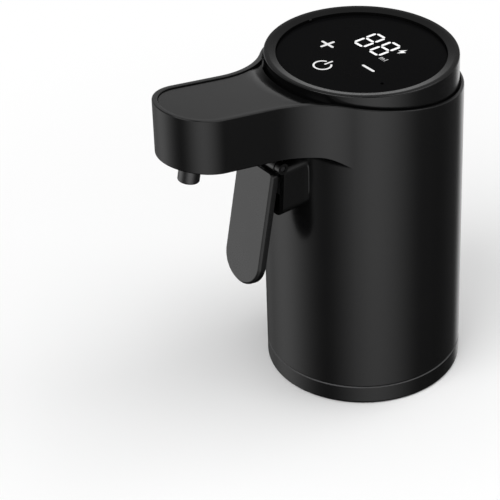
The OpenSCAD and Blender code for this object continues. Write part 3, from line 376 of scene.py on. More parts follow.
# Body and arm
# One moulded shell: an upright drum whose rim slopes up to the front, with the spout arm blended
# into it by hollow curves at its sides and below it. Its edges are softly rounded and a slot at the
# back takes a plug.
body_h = 97.1
top_slope = math.radians(10.7)
arm_half = 12.25
arm_reach = 57.4
arm_t = 16.4
arm_blend = 29.6
blend_x = arm_half + arm_blend
blend_y = -math.sqrt((body_r + arm_blend) ** 2 - blend_x ** 2)
blend_turn = math.degrees(math.atan2(-blend_y, blend_x))
body_steps = 150
blend_steps = 26
side_steps = 8
nose_steps = 48
rim_round = 0.3
under_round = 0.4
round_fade = 0.25
under_hollow = 2.75
hollow_steps = 10
least_gap = 0.001
inner_r = 27.0
cavity_in = 2.8
cavity_depth = 14.4
seat_r = 27.7
seat_in = 2.2
seat_depth = 4.5
groove_r = 28.15
pocket_in = 1.55
pocket_depth = 1.95
land_round = 0.12
foot_round = 0.2
ledge_share = 0.992
boss_r = 2.6
boss_top = 16.0
boss_roof = 1.0
wall_sink = 0.5
overrun = 1.0
window_half = 6.0
window_z = (73.0, 77.4)
nozzle_hole = 3.35
slot_w = 9.6
slot_h = 3.8
slot_z = 82.1
slot_flare = 0.7
slot_depths = (24.0, 28.2, 29.6)
shelf_x = 5.5
shelf_w = 3.0
shelf_low, shelf_high = 76.3, 79.3
shelf_y = 17.55
nose_y = -arm_reach / math.cos(top_slope)
on_rim = Matrix.Translation((0, 0, body_h)) @ Matrix.Rotation(-top_slope, 4, "X")
on_nose = on_rim @ Matrix.Translation((0, nose_y, 0))


def plan(inset, least=0.0):
    """Outline of body and arm from above, drawn in by inset and no nearer the axis than least."""
    half = arm_half - inset
    outline = arc(0, 0, body_r - inset, -blend_turn, 180 + blend_turn, body_steps)
    outline += arc(-blend_x, blend_y, arm_blend + inset, blend_turn, 0, blend_steps)
    run = [blend_y + (-arm_reach - blend_y) * step / side_steps for step in range(side_steps)]
    outline += [(-half, y) for y in run]
    outline += arc(0, -arm_reach, half, 180, 360, nose_steps)
    outline += [(half, blend_y - arm_reach - y) for y in run]
    outline += arc(blend_x, blend_y, arm_blend + inset, 180, 180 - blend_turn, blend_steps)
    return [Vector(point) * max(1.0, least / Vector(point).length) for point in outline]


def below_rim(point, depth):
    """A plan point, set at a depth square to the sloping rim."""
    return Vector((point[0], point[1],
                   body_h - point[1] * math.tan(top_slope) - depth / math.cos(top_slope)))


def bridge(mesh, one, other, closed=True):
    """Faces between two rows of as many points."""
    count = len(one) if closed else len(one) - 1
    for step in range(count):
        after = (step + 1) % len(one)
        mesh.faces.new((one[step], one[after], other[after], other[step]))


def rim_ring(mesh, inset, depth, least=0.0):
    """A closed row of points round body and arm, drawn in by inset and below the rim by depth."""
    return [mesh.verts.new(below_rim(point, depth)) for point in plan(inset, least)]


def round_over(radius, steps=4):
    """Insets and depths over a rounded edge, from the flat to the wall."""
    turns = [math.pi / 2 * step / steps for step in range(steps + 1)]
    return [(radius * (1 - math.sin(t)), radius * (1 - math.cos(t))) for t in turns]


def drum_gap(point):
    """A plan point's distance from the drum's wall."""
    gap = point.length - body_r
    return gap if gap > least_gap else 0.0


def hollow_start(point):
    """Angle at which the hollow curve under the arm meets a plan point, nought beyond its reach."""
    return math.asin(1 - min(drum_gap(point), under_hollow) / under_hollow)


def block(mesh, low, high, place=Matrix(), ease=0.2):
    """A box between two corners with eased edges, set in its place."""
    middle = (Vector(low) + Vector(high)) / 2
    size = Matrix.Diagonal(Vector(high) - Vector(low)).to_4x4()
    box = bmesh.ops.create_cube(mesh, size=1, matrix=place @ Matrix.Translation(middle) @ size)
    edges = list({edge for vert in box["verts"] for edge in vert.link_edges})
    bmesh.ops.bevel(mesh, geom=edges, offset=ease, segments=2, profile=0.5, affect="EDGES")


def slot_row(mesh, y, grow):
    """A slot's outline with round ends, upright across Y."""
    radius = slot_h / 2 + grow
    reach = (slot_w - slot_h) / 2
    outline = arc(reach, slot_z, radius, -90, 90, 16) + arc(-reach, slot_z, radius, 90, 270, 16)
    return [mesh.verts.new((x, y, z)) for x, z in outline]


mesh = bmesh.new()
rings = [
    rim_ring(mesh, cavity_in, cavity_depth, inner_r),
    rim_ring(mesh, cavity_in, seat_depth, inner_r),
    rim_ring(mesh, seat_in, seat_depth, seat_r),
    rim_ring(mesh, seat_in, pocket_depth, seat_r),
    rim_ring(mesh, pocket_in, pocket_depth, groove_r),
]
for inset, depth in reversed(round_over(land_round, 2)):
    rings.append(rim_ring(mesh, pocket_in - inset, depth, groove_r + inset))
for inset, depth in round_over(rim_round):
    rings.append(rim_ring(mesh, inset, depth))
rings.append(rim_ring(mesh, 0, arm_t / 2))
for lower, upper in zip(rings, rings[1:]):
    bridge(mesh, lower, upper)

# The body's own stretch of the outline runs down to the seam. The arm's turns in under the arm and
# then down the hollow curve to the drum.
arm_path = list(range(body_steps, len(rings[-1]))) + [0]
arm_count = len(arm_path)
fade = [
    min(1.0, min(step, arm_count - 1 - step) / (round_fade * arm_count))
    for step in range(arm_count)
]
under_rows = [[rings[-1][number] for number in arm_path]]
for inset, rise in reversed(round_over(under_round)):
    row = []
    for number, soft in zip(arm_path, fade):
        point = plan(inset * soft)[number]
        sag = under_hollow * (1 - math.cos(hollow_start(point)))
        row.append(mesh.verts.new(below_rim(point, arm_t + sag - rise * soft)))
    under_rows.append(row)
edge = [plan(under_round * soft)[number] for number, soft in zip(arm_path, fade)]
front_arc = arc(0, 0, body_r, 180 + blend_turn, 360 - blend_turn, arm_count - 1)
front_arc += arc(0, 0, body_r, 360 - blend_turn, 360, 1)
for step in range(hollow_steps + 1):
    row = []
    for start, end in zip(edge, front_arc):
        gap = drum_gap(start)
        turn = hollow_start(start)
        turn += (math.pi / 2 - turn) * step / hollow_steps
        away = under_hollow * (1 - math.sin(turn))
        point = start.lerp(Vector(end), 1 - away / gap if gap else 1.0)
        point = point.normalized() * (body_r + away)
        row.append(mesh.verts.new(below_rim(point, arm_t + under_hollow * (1 - math.cos(turn)))))
    under_rows.append(row)
for outer, inner in zip(under_rows, under_rows[1:]):
    bridge(mesh, outer, inner, closed=False)
side = [rings[-1][number] for number in range(body_steps + 1)]
side_low = [mesh.verts.new(below_rim(vert.co, arm_t + under_hollow)) for vert in side]
bridge(mesh, side, side_low, closed=False)
foot_rows = [side_low + under_rows[-1][1:]]
for inset, rise in reversed(round_over(foot_round, 2)):
    row = []
    for vert in foot_rows[0]:
        spot = Vector((vert.co.x, vert.co.y)).normalized() * (body_r - inset)
        row.append(mesh.verts.new((spot.x, spot.y, seam_top + rise)))
    foot_rows.append(row)
foot_rows.append([
    mesh.verts.new((vert.co.x * inner_r / body_r, vert.co.y * inner_r / body_r, seam_top))
    for vert in foot_rows[0]
])
for upper, lower in zip(foot_rows, foot_rows[1:]):
    bridge(mesh, upper, lower)
ledge = [
    mesh.verts.new(below_rim(vert.co * ledge_share, cavity_depth))
    for vert in foot_rows[-1]
]
bridge(mesh, foot_rows[-1], ledge)
cavity_path = [rings[0][number] for number in arm_path]
bridge(mesh, cavity_path, ledge[body_steps:], closed=False)
bridge(mesh, rings[0][:body_steps + 1], ledge[:body_steps + 1], closed=False)
body = made(mesh, "body_shell_skin", black_plastic)
holes = bmesh.new()
rows = [slot_row(holes, y, grow) for y, grow in zip(slot_depths, (0, 0, slot_flare))]
for inner, outer in zip(rows, rows[1:]):
    bridge(holes, inner, outer)
holes.faces.new(rows[0])
holes.faces.new(rows[-1])
block(holes, (-window_half, -body_r - overrun, window_z[0]), (window_half, -inner_r / 2, window_z[1]))
revolve(holes, [
    (0, -arm_t - overrun),
    (nozzle_hole, -arm_t - overrun),
    (nozzle_hole, overrun - cavity_depth),
    (0, overrun - cavity_depth),
], on_nose, 64)
cut(body, holes, "holes")
steady(body)

mesh = bmesh.new()
hole = base_screw_r + screw_slip
for place in spun(boss_angles, Matrix.Translation((boss_ring, 0, 0))):
    revolve(mesh, [
        (0, boss_top - boss_roof),
        (hole, boss_top - boss_roof),
        (hole, spigot_top),
        (boss_r, spigot_top),
        (boss_r, boss_top),
        (0, boss_top),
    ], place, 48)
    block(mesh, (hole, -boss_r / 2, spigot_top),
          (inner_r - boss_ring + wall_sink, boss_r / 2, boss_top), place)
for side in (-1, 1):
    block(mesh, (side * shelf_x - shelf_w / 2, shelf_y, shelf_low),
          (side * shelf_x + shelf_w / 2, inner_r - wall_sink, shelf_high))
bosses = made(mesh, "body_bosses", black_plastic)
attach(bosses, "housing")
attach(body, "housing")
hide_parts("body_shell")

# Arm cover
# A flat lid of the same plastic, clipped into the pocket along the arm just below its border. Its
# rear edge follows the bezel's dark gap.
cover_in = 1.7
cover_drop = 0.35
cover_gap = 0.15
cover_r = groove_r + cover_gap
cover_round = 0.12
hollow_deep = 0.8
hollow_reach = 5.0
cover_rows = 14
cover_numbers = [
    number for number, point in enumerate(plan(cover_in))
    if number >= body_steps and point.length > cover_r
]


def on_cover(point, depth=0.0):
    """A plan point on the lid, which dips in a soft hollow beside the display's drum."""
    near = min(1.0, max(0.0, 1 - (Vector(point).length - cover_r) / hollow_reach))
    return below_rim(point, cover_drop + depth + hollow_deep * near * near * (3 - 2 * near))


def cover_row(mesh, inset, place):
    """The lid's outline drawn in by inset: its sides and nose, then its round rear edge."""
    outline = plan(cover_in + inset)
    sides = [outline[number] for number in cover_numbers]
    start, end = (math.degrees(math.atan2(point.y, point.x)) for point in (sides[0], sides[-1]))
    rear = arc(0, 0, cover_r + inset, start, end, len(sides) - 1)
    rear.append(sides[-1].normalized() * (cover_r + inset))
    return [[mesh.verts.new(place(point)) for point in row] for row in (sides, rear)]


mesh = bmesh.new()
rows = [
    cover_row(mesh, inset, lambda point, depth=depth: on_cover(point, depth))
    for inset, depth in round_over(cover_round)
]
rows.append(cover_row(mesh, 0, lambda point: below_rim(point, pocket_depth)))
bridge(mesh, *rows[-1], closed=False)
sides, rear = rows[0]
top = [rear]
for step in range(1, cover_rows):
    share = (step / cover_rows) ** 2
    spots = [one.co.xy.lerp(other.co.xy, share) for one, other in zip(rear, sides)]
    top.append([mesh.verts.new(on_cover(spot)) for spot in spots])
top.append(sides)
for one, other in zip(top, top[1:]):
    bridge(mesh, one, other, closed=False)
for tip in (0, -1):
    mesh.faces.new([row[tip] for row in top])
for upper, lower in zip(rows, rows[1:]):
    bridge(mesh, upper[0] + upper[1][::-1], lower[0] + lower[1][::-1])
cover = made(mesh, "arm_cover_skin", black_plastic)
steady(cover)
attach(cover, "housing")
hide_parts("arm_cover")

# Display bezel
# A drum of black plastic that drops into the body with a dark gap round it. Its top leans back a
# little. The ring round the lens has a crisp outer edge, a flat land, a dish and a small locating nick.
bezel_h = 103.1
bezel_slope = math.radians(2)
bezel_r = 27.65
bezel_edge = 0.35
bezel_land = 0.85
bezel_dish = 0.5
bezel_wall = 2.0
lens_r = 24.3
lens_drop = 0.9
lens_t = 0.7
lens_web = 1.5
lens_z = -bezel_dish - lens_drop
web_z = lens_z - lens_t
on_bezel = Matrix.Translation((0, 0, bezel_h)) @ Matrix.Rotation(-bezel_slope, 4, "X")
bezel_steps = 180
dish_steps = 9
dish_power = 1.05
nick_turn = math.radians(177.7)
nick_half = 0.5
nick_in = 0.4


def circle_row(mesh, radius, place):
    """A ring of points, each set in its place by a function of its plan point."""
    return [mesh.verts.new(place(point)) for point in arc(0, 0, radius, 0, 360, bezel_steps)]


def on_display(height):
    """A function that sets a plan point at a height over the display's plane."""
    return lambda point: on_bezel @ Vector((point[0], point[1], height))


dish_r = bezel_r - bezel_edge - bezel_land
dish_shares = [1 - step / dish_steps for step in range(dish_steps + 1)]
mesh = bmesh.new()
rows = [circle_row(mesh, radius, on_display(height)) for radius, height in (
    (lens_r, web_z),
    (lens_r, -bezel_dish - land_round),
    *((dish_r - (dish_r - lens_r) * share, -bezel_dish * share ** dish_power) for share in dish_shares),
    *((bezel_r - inset, -depth) for inset, depth in round_over(bezel_edge, 5)),
)]
rows.append(circle_row(mesh, bezel_r, lambda point: below_rim(point, seat_depth)))
rows.append(circle_row(mesh, bezel_r - bezel_wall, lambda point: below_rim(point, seat_depth)))
rows.append(circle_row(mesh, bezel_r - bezel_wall, on_display(web_z - lens_web)))
for inner, outer in zip(rows, rows[1:]):
    bridge(mesh, inner, outer)
mesh.faces.new(rows[0])
mesh.faces.new(rows[-1])
block(mesh, (lens_r - nick_in, -nick_half, lens_z), (lens_r + nick_in, nick_half, -bezel_dish),
      on_bezel @ Matrix.Rotation(nick_turn, 4, "Z"))
bezel = made(mesh, "display_bezel_skin", black_plastic)
steady(bezel)
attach(bezel, "housing")
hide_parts("display_bezel")

# Display lens
# A disc of smoked clear plastic, bonded into the bezel. It is nearly black, with a fine polish, and it
# has one small dark window for the light sensor.
lens_edge = 0.15
lens_gap = 0.05
sensor_x, sensor_y = 16.72, -6.69
sensor_r = 0.45
black_glass = moulded("black_glass", (0.003, 0.003, 0.0032), shine=0.012, roughness=0.2,
                      grain=1.5, depth=0.0004, clouds=0.05)
lens = turned("display_lens_skin", black_glass, [
    (0, web_z),
    (lens_r - lens_gap, web_z),
    (lens_r - lens_gap, lens_z - lens_edge),
    (lens_r - lens_gap - lens_edge, lens_z),
    (0, lens_z),
], on_bezel, bezel_steps)
steady(lens)
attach(lens, "housing")
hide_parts("display_lens")

sensor_black = moulded("sensor_black", (0.0004, 0.0004, 0.0004), shine=0.0, roughness=0.5)
sensor = turned("light_sensor_window", sensor_black, [
    (0, lens_z - lens_edge),
    (sensor_r, lens_z - lens_edge),
    (sensor_r, lens_z + lens_gap),
    (0, lens_z + lens_gap),
], on_bezel @ Matrix.Translation((sensor_x, sensor_y, 0)), 32)
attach(sensor, "housing")

# Lit marks
# Two seven-part digits, a charge bolt, the unit, and the plus, minus and power marks shine white
# through the lens. Each is a thin film on the lens, and the digits' bars are lit one by one.
film_t = 0.04
film_lift = 0.03
digit_middles = (-4.97, 1.61)
digit_w = 3.9
digit_rows = (3.04, 7.34, 11.49)
bar_t = 0.8
bar_gap = 0.27


def lit(name, strength):
    """Light through a printed film, a little uneven over each mark."""
    material, shade, place = new_material(name)
    patch = shade.node("ShaderNodeTexNoise", sockets={"Vector": place, "Scale": 400.0})
    shade.fill(shade.tree.nodes["Principled BSDF"], {
        "Base Color": (0.1, 0.1, 0.1, 1.0),
        "Roughness": 0.4,
        "Specular IOR Level": 0.1,
        "Emission Strength": 1.0,
        "Emission Color": patch.tint((strength,) * 3, 0.94, 1.06),
    })
    return material


def film(mesh, outline):
    """A flat mark on the lens, from its outline in the display's own plane."""
    mesh.faces.new([mesh.verts.new(on_bezel @ Vector((x, y, lens_z + film_lift))) for x, y in outline])


def stroke(mesh, path, width):
    """A line of even width with round ends, drawn along a path on the lens."""
    points = [Vector(point) for point in path]
    half = width / 2
    sides = []
    for number, point in enumerate(points):
        before, after = points[max(number - 1, 0)], points[min(number + 1, len(points) - 1)]
        ahead = (after - before).normalized()
        across = Vector((-ahead.y, ahead.x)) * half
        sides.append((point + across, point - across))
    for (left, right), (far_left, far_right) in zip(sides, sides[1:]):
        film(mesh, (left, right, far_right, far_left))
    for end, inner in ((points[-1], points[-2]), (points[0], points[1])):
        ahead = math.degrees(math.atan2(end.y - inner.y, end.x - inner.x))
        cap = arc(end.x, end.y, half, ahead - 90, ahead + 90, 8)
        film(mesh, cap + arc(end.x, end.y, half, ahead + 90, ahead, 1))


def filmed(mesh, name, material):
    """Give the flat marks their thickness and set them on the lens."""
    piece = made(mesh, name, material)
    piece.modifiers.new("thick", "SOLIDIFY").thickness = film_t * MM
    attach(piece, "housing")


digit_light = lit("digit_light", 1.0)
mark_light = lit("mark_light", 0.78)
unit_light = lit("unit_light", 0.42)

mesh = bmesh.new()
for middle in digit_middles:
    for x, y, length, turn in (
        *((middle, y, digit_w, 0) for y in digit_rows),
        *((middle + side * digit_w / 2, (low + high) / 2, high - low, 90)
          for side in (-1, 1) for low, high in zip(digit_rows, digit_rows[1:])),
    ):
        half = length / 2 - bar_gap
        thick = bar_t / 2
        shape = ((half, 0), (half - thick, thick), (thick - half, thick),
                 (-half, 0), (thick - half, -thick), (half - thick, -thick))
        if turn:
            shape = tuple((-v, u) for u, v in shape)
        film(mesh, [(x + u, y + v) for u, v in shape])
bolt = ((6.23, 11.6), (4.88, 9.5), (5.88, 9.7), (5.78, 8.2), (7.18, 10.35), (6.18, 10.15))
film(mesh, bolt)
filmed(mesh, "lit_digits", digit_light)

mesh = bmesh.new()
mark_length = 5.1
mark_t = 0.8
plus_x, plus_y = -10.47, -3.77
minus_x, minus_y = 7.58, -3.91
arm_end = mark_length / 2 - mark_t / 2
plus = []
for turn in (0, 90, 180, 270):
    spin = Matrix.Rotation(math.radians(turn), 2)
    tip = [(mark_t / 2, -mark_t / 2), *arc(arm_end, 0, mark_t / 2, -90, 90, 8), (arm_end, mark_t / 2)]
    plus += [spin @ Vector(point) + Vector((plus_x, plus_y)) for point in tip]
film(mesh, plus)
stroke(mesh, [(minus_x - arm_end, minus_y), (minus_x + arm_end, minus_y)], mark_t)
power_x, power_y = -1.72, -12.81
power_r = 2.5
power_t = 0.55
power_gap = 27
power_bar = (1.0, 3.5)
stroke(mesh, arc(power_x, power_y, power_r, 90 + power_gap, 450 - power_gap, 40), power_t)
stroke(mesh, [(power_x, power_y + end) for end in power_bar], power_t)
filmed(mesh, "lit_marks", mark_light)

mesh = bmesh.new()
unit_t = 0.26
unit_low = 2.24
unit_high = 3.29
unit_tall = 3.79
unit_stem = 4.98
hump_lefts = (4.98, 5.63)
hump_r = 0.32
tall_x = 7.03
for left in hump_lefts:
    right = left + 2 * hump_r
    hump = arc(left + hump_r, unit_high - hump_r, hump_r, 180, 0, 8)
    stroke(mesh, hump + [(right, unit_high - hump_r), (right, unit_low)], unit_t)
stroke(mesh, [(unit_stem, unit_low), (unit_stem, unit_high)], unit_t)
stroke(mesh, [(tall_x, unit_low), (tall_x, unit_tall)], unit_t)
filmed(mesh, "lit_unit", unit_light)

# Nozzle
# A dark spout pushed up through the arm's nose, a plain tube with a rounded tip. A flange, an elbow
# and a hose barb lie inside the arm, and two screws hold its ears.
nozzle_drop = 7.0
nozzle_tip = -arm_t - nozzle_drop
nozzle_r = 3.1
nozzle_bore = 1.6
nozzle_neck = 3.3
tip_round = 0.6
flange_r = 5.0
flange_t = 1.5
flange_top = flange_t - cavity_depth
elbow_r = 3.6
elbow_top = -6.4
elbow_cap = 1.2
hose_depth = 10.0
barb_r = 1.58
barb_l = 11.0
nozzle_plastic = moulded("nozzle_plastic", (0.008, 0.008, 0.0083), shine=0.5, roughness=0.22)
mesh = bmesh.new()
revolve(mesh, [
    (nozzle_bore, nozzle_tip + tip_round),
    (nozzle_bore + tip_round, nozzle_tip),
    *arc(nozzle_r - tip_round, nozzle_tip + tip_round, tip_round, -90, 0, 5),
    (nozzle_r, nozzle_tip + tip_round),
    (nozzle_r, -arm_t),
    (nozzle_neck, -arm_t),
    (nozzle_neck, -cavity_depth),
    (flange_r, -cavity_depth),
    (flange_r, flange_top),
    (elbow_r, flange_top),
    (elbow_r, elbow_top),
    (0, elbow_top),
    (0, elbow_top - elbow_cap),
    (nozzle_bore, elbow_top - elbow_cap),
], on_nose, 64)
to_barb = on_nose @ Matrix.Translation((0, 0, -hose_depth)) @ Matrix.Rotation(-math.pi / 2, 4, "X")
revolve(mesh, [(0, 0), (barb_r, 0), (barb_r, barb_l), (0, barb_l)], to_barb, 32)
nozzle = made(mesh, "nozzle_skin", nozzle_plastic)
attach(nozzle, "housing")
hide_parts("nozzle")

# Trigger lever
# A slim tongue of satin plastic with bevelled edges, a round lower end and eased shoulders. Two
# knuckles at its back carry the hinge pin, and a block behind it presses the switch.
hinge_y = -36.2
hinge_z = 82.6
lever_lean = math.radians(11.1)
on_lever = Matrix.Translation((0, hinge_y, hinge_z)) @ Matrix.Rotation(-lever_lean, 4, "X")
lever_half = 8.0
lever_l = 37.4
lever_top = -2.0
lever_low = lever_top - lever_l + lever_half
lever_front = -2.4
lever_back = 0.2
lever_bevel = 0.7
bevel_deep = 0.7
top_share = 0.25
shoulder_r = 1.2
edge_round = 0.12
lever_ease = 0.35
knuckle_r = 1.9
knuckle_in = 3.2
knuckle_out = 7.2
pin_hole = 0.95
knuckle_foot = -3.0
knuckle_back = 1.52
pin_gap = 0.05
pusher_half = 6.4
pusher_top = -4.0
pusher_foot = -14.1
pusher_back = 1.0
lever_root = -0.3


def lever_row(mesh, inset, y):
    """The tongue's outline at one depth from its face: eased shoulders and a round lower end."""
    half, top = lever_half - inset, lever_top - inset * top_share
    ease = shoulder_r - inset / 2
    outline = arc(half - ease, top - ease, ease, 0, 90, 8)
    outline += arc(ease - half, top - ease, ease, 90, 180, 8)
    outline += arc(0, lever_low, half, 180, 360, 48)
    return [mesh.verts.new(on_lever @ Vector((x, y, z))) for x, z in outline]


def spindle(mesh, radius, start, end, place, ease=0.15, steps=48, bore=0.0):
    """A bar or a tube along X with eased ends, set in its place."""
    along = place @ Matrix.Rotation(math.pi / 2, 4, "Y")
    ends = [(radius - ease, start), (radius, start + ease), (radius, end - ease), (radius - ease, end)]
    revolve(mesh, [(bore, start), *ends, (bore, end)], along, steps)


lever_plastic = moulded("lever_plastic", (0.0045, 0.0045, 0.0047), shine=0.4, roughness=0.28)
mesh = bmesh.new()
rows = [lever_row(mesh, inset, y) for inset, y in (
    (lever_bevel + edge_round, lever_front),
    (lever_bevel - edge_round, lever_front + edge_round),
    (edge_round / 2, lever_front + bevel_deep - edge_round),
    (0, lever_front + bevel_deep + edge_round),
    (0, lever_back - lever_ease),
    (lever_ease / 3, lever_back - lever_ease / 3),
    (lever_ease, lever_back),
)]
for front, rear in zip(rows, rows[1:]):
    bridge(mesh, front, rear)
mesh.faces.new(rows[0])
mesh.faces.new(rows[-1])
for side in (-1, 1):
    start, end = sorted((side * knuckle_in, side * knuckle_out))
    spindle(mesh, knuckle_r, start, end, on_lever, bore=pin_hole)
    block(mesh, (start, lever_root, knuckle_foot), (end, knuckle_back, -pin_hole - pin_gap), on_lever)
block(mesh, (-pusher_half, lever_root, pusher_foot), (pusher_half, pusher_back, pusher_top), on_lever)
lever = made(mesh, "trigger_lever_skin", lever_plastic)
steady(lever)
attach(lever, "trigger")
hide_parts("trigger_lever")

# Hinge pin
# A steel pin, turned with eased ends and darkened. It is pressed through the housing's lugs, and the
# lever's knuckles swing on it.
pin_r = 0.9
pin_half = 9.2


def metal(name, colour, roughness, brush=(1.0, 1.0, 1.0), fine=1500.0):
    """Bare metal with fine marks, which brush stretches along an axis."""
    material, shade, place = new_material(name)
    grain = shade.node("ShaderNodeMapping", sockets={"Vector": place, "Scale": brush})
    marks = shade.node("ShaderNodeTexNoise", sockets={"Vector": grain, "Scale": fine, "Detail": 4.0})
    shade.fill(shade.tree.nodes["Principled BSDF"], {
        "Metallic": 1.0,
        "Base Color": marks.tint(colour, 0.86, 1.06),
        "Roughness": roughness + (marks - 0.5) * 0.2,
    })
    return material


steel = metal("steel", (0.62, 0.62, 0.63), 0.3)
dark_steel = metal("dark_steel", (0.1, 0.1, 0.105), 0.25)
mesh = bmesh.new()
spindle(mesh, pin_r, -pin_half, pin_half, Matrix.Translation((0, hinge_y, hinge_z)))
pin = made(mesh, "hinge_pin_skin", dark_steel)
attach(pin, "housing")
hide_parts("hinge_pin")

# Switch housing
# A rounded block that carries the lever's hinge and the switch, fitted to the drum below the arm and
# held by two screws from inside. It is moulded in the body's plastic with eased edges, and a thin bead
# runs along its joint with the drum.
housing_ease = 0.35
bead_r = 0.3
bead_x = 9.45
bead_low, bead_high = 68.5, 83.0
bead_turn = 4.0
bead_reach = 40


def eased(node, name, material, width, angle=40):
    """A copy of a solid with its edges rounded."""
    mesh = bmesh.new()
    mesh.from_mesh(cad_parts[node].data)
    bmesh.ops.scale(mesh, vec=(1 / MM, 1 / MM, 1 / MM), verts=mesh.verts)
    bmesh.ops.remove_doubles(mesh, verts=mesh.verts, dist=2e-3)
    bmesh.ops.dissolve_limit(mesh, angle_limit=math.radians(1), verts=mesh.verts, edges=mesh.edges)
    piece = made(mesh, name, material)
    ease = piece.modifiers.new("ease", "BEVEL")
    ease.width = width * MM
    ease.segments = 3
    ease.limit_method = "ANGLE"
    ease.angle_limit = math.radians(angle)
    steady(piece)
    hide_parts(node)
    return piece


def tube(mesh, path, radius, sides=10, bore=0.0):
    """A round wire or, with a bore, a hose along a path of points, closed at its ends."""
    points = [Vector(point) for point in path]
    across = (points[1] - points[0]).orthogonal()
    outer, inner = [], []
    for number, point in enumerate(points):
        ahead = (points[min(number + 1, len(points) - 1)] - points[max(number - 1, 0)]).normalized()
        across = (across - ahead * across.dot(ahead)).normalized()
        beside = ahead.cross(across)
        for row, size in ((outer, radius), (inner, bore)):
            turns = [2 * math.pi * step / sides for step in range(sides if size > 0 else 0)]
            spots = [point + (across * math.cos(t) + beside * math.sin(t)) * size for t in turns]
            row.append([mesh.verts.new(spot) for spot in spots])
    if bore > 0:
        rows = outer + inner[::-1] + outer[:1]
    else:
        rows = outer
        mesh.faces.new(outer[0])
        mesh.faces.new(outer[-1])
    for one, other in zip(rows, rows[1:]):
        bridge(mesh, one, other)


housing = eased("switch_housing", "switch_housing_skin", black_plastic, housing_ease)
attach(housing, "housing")

mesh = bmesh.new()
for side in (-1, 1):
    outline = arc(bead_x - bead_turn, bead_low + bead_turn, bead_turn, -bead_reach, 0, 8)
    outline += arc(bead_x - bead_turn, bead_high - bead_turn, bead_turn, 0, bead_reach, 8)
    tube(mesh, [(side * x, -math.sqrt(body_r ** 2 - x * x), z) for x, z in outline], bead_r)
bead = made(mesh, "switch_housing_bead", lever_plastic)
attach(bead, "housing")

# Base screws
# Three cross-head steel screws, sunk into the base ring from below. The same kind of screw, in other
# sizes, holds the pump, the nozzle, both boards and the switch housing inside.
base_screw_l = 9.0
head_ratio = 1.8
crown_ratio = 1.35
tip_ratio = 0.7
head_h = 1.4


def set_out_tree():
    """Nodes that set a copy of a shape on each point, turned as the point says."""
    tree = bpy.data.node_groups.new("set_out", "GeometryNodeTree")
    for label, kind in (("Points", "Geometry"), ("Shape", "Object"), ("Finish", "Material")):
        tree.interface.new_socket(label, in_out="INPUT", socket_type="NodeSocket" + kind)
    tree.interface.new_socket("Set out", in_out="OUTPUT", socket_type="NodeSocketGeometry")
    build = Socket(tree)
    points, shape, finish = (
        build.node("NodeGroupInput", out=label) for label in ("Points", "Shape", "Finish"))
    model = build.node("GeometryNodeObjectInfo", sockets={"Object": shape}, out="Geometry")
    turn = build.node("GeometryNodeInputNamedAttribute", {"data_type": "FLOAT_VECTOR"}, {"Name": "turn"})
    spin = build.node("FunctionNodeEulerToRotation", sockets={"Euler": turn})
    copies = build.node("GeometryNodeInstanceOnPoints", sockets={
        "Points": points, "Instance": model, "Rotation": spin})
    plain = build.node("GeometryNodeRealizeInstances", sockets={"Geometry": copies})
    dressed = build.node("GeometryNodeSetMaterial", sockets={"Geometry": plain, "Material": finish})
    build.node("NodeGroupOutput", sockets={"Set out": dressed})
    return tree


set_out_nodes = set_out_tree()


def set_out(name, shape, places, material):
    """One plain mesh with a copy of a shape at each place, a matrix in mm."""
    data = bpy.data.meshes.new(name)
    data.from_pydata([place.translation * MM for place in places], [], [])
    turns = data.attributes.new("turn", "FLOAT_VECTOR", "POINT")
    for number, place in enumerate(places):
        turns.data[number].vector = place.to_euler()
    data.materials.append(material)
    piece = bpy.data.objects.new(name, data)
    bpy.context.scene.collection.objects.link(piece)
    nodes = piece.modifiers.new("set_out", "NODES")
    nodes.node_group = set_out_nodes
    names = {item.name: item.identifier for item in set_out_nodes.interface.items_tree}
    nodes[names["Shape"]] = shape
    nodes[names["Finish"]] = material
    solid_of(piece)
    bpy.data.objects.remove(shape)
    return piece


def screws(name, node, radius, length, places):
    """Cross-head screws in a node's places, head undersides on the places and shanks along +Z."""
    head = radius * head_ratio
    shape = turned(name + "_shape", steel, [
        (0, length),
        (radius * tip_ratio, length),
        (radius, length - radius),
        (radius, 0),
        (head, 0),
        (head, -head_h * 2 / 3),
        (radius * crown_ratio, -head_h),
        (0, -head_h),
    ], steps=32)
    for turn in (0, math.pi / 2):
        slot = bmesh.new()
        block(slot, (-radius, -radius / 4, -2 * head_h), (radius, radius / 4, -head_h / 2),
              Matrix.Rotation(turn, 4, "Z"), ease=radius / 20)
        cut(shape, slot, "slot")
    piece = set_out(name, shape, places, steel)
    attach(piece, "housing")
    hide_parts(node)


screws("base_screw_set", "base_screws", base_screw_r, base_screw_l,
       spun(boss_angles, Matrix.Translation((boss_ring, 0, base_head_z))))

# Neck socket
# A turned sleeve of dark nylon stands in the base, with a soft sealing ring pressed up under its deck.
# A ribbed silicone stopper hangs from the deck's middle, round a drawn steel tube.
neck_depth = 34.0
sleeve_r = 19.6
deck_r = 26.7
deck_z = 36.4
stem_r = 5.4
stem_gap = 0.05
gasket_in = 9.9
gasket_t = 1.6
gasket_round = 0.4
stopper_r = 9.3
stopper_foot = 9.0
stopper_foot_r = 7.4
waist_r, waist_z = 8.3, 11.0
rib_r, rib_z = 9.1, 14.0
rib_round = 0.6
valley_r, valley_low, valley_high = 8.4, 16.2, 19.3
land_z = 20.0
stopper_lip = 6.4
stopper_lip_top = 6.0
stopper_lip_t = 1.6
tube_r = 2.5
tube_top = 41.7
tube_foot = 3.0
tube_bore = 1.3
tube_step = 8.7
dip_spigot_r = 2.1
dark_nylon = moulded("dark_nylon", (0.03, 0.03, 0.032), shine=0.35, roughness=0.5)
grey_silicone = moulded("grey_silicone", (0.085, 0.085, 0.088), shine=0.35, roughness=0.55, depth=0.002)
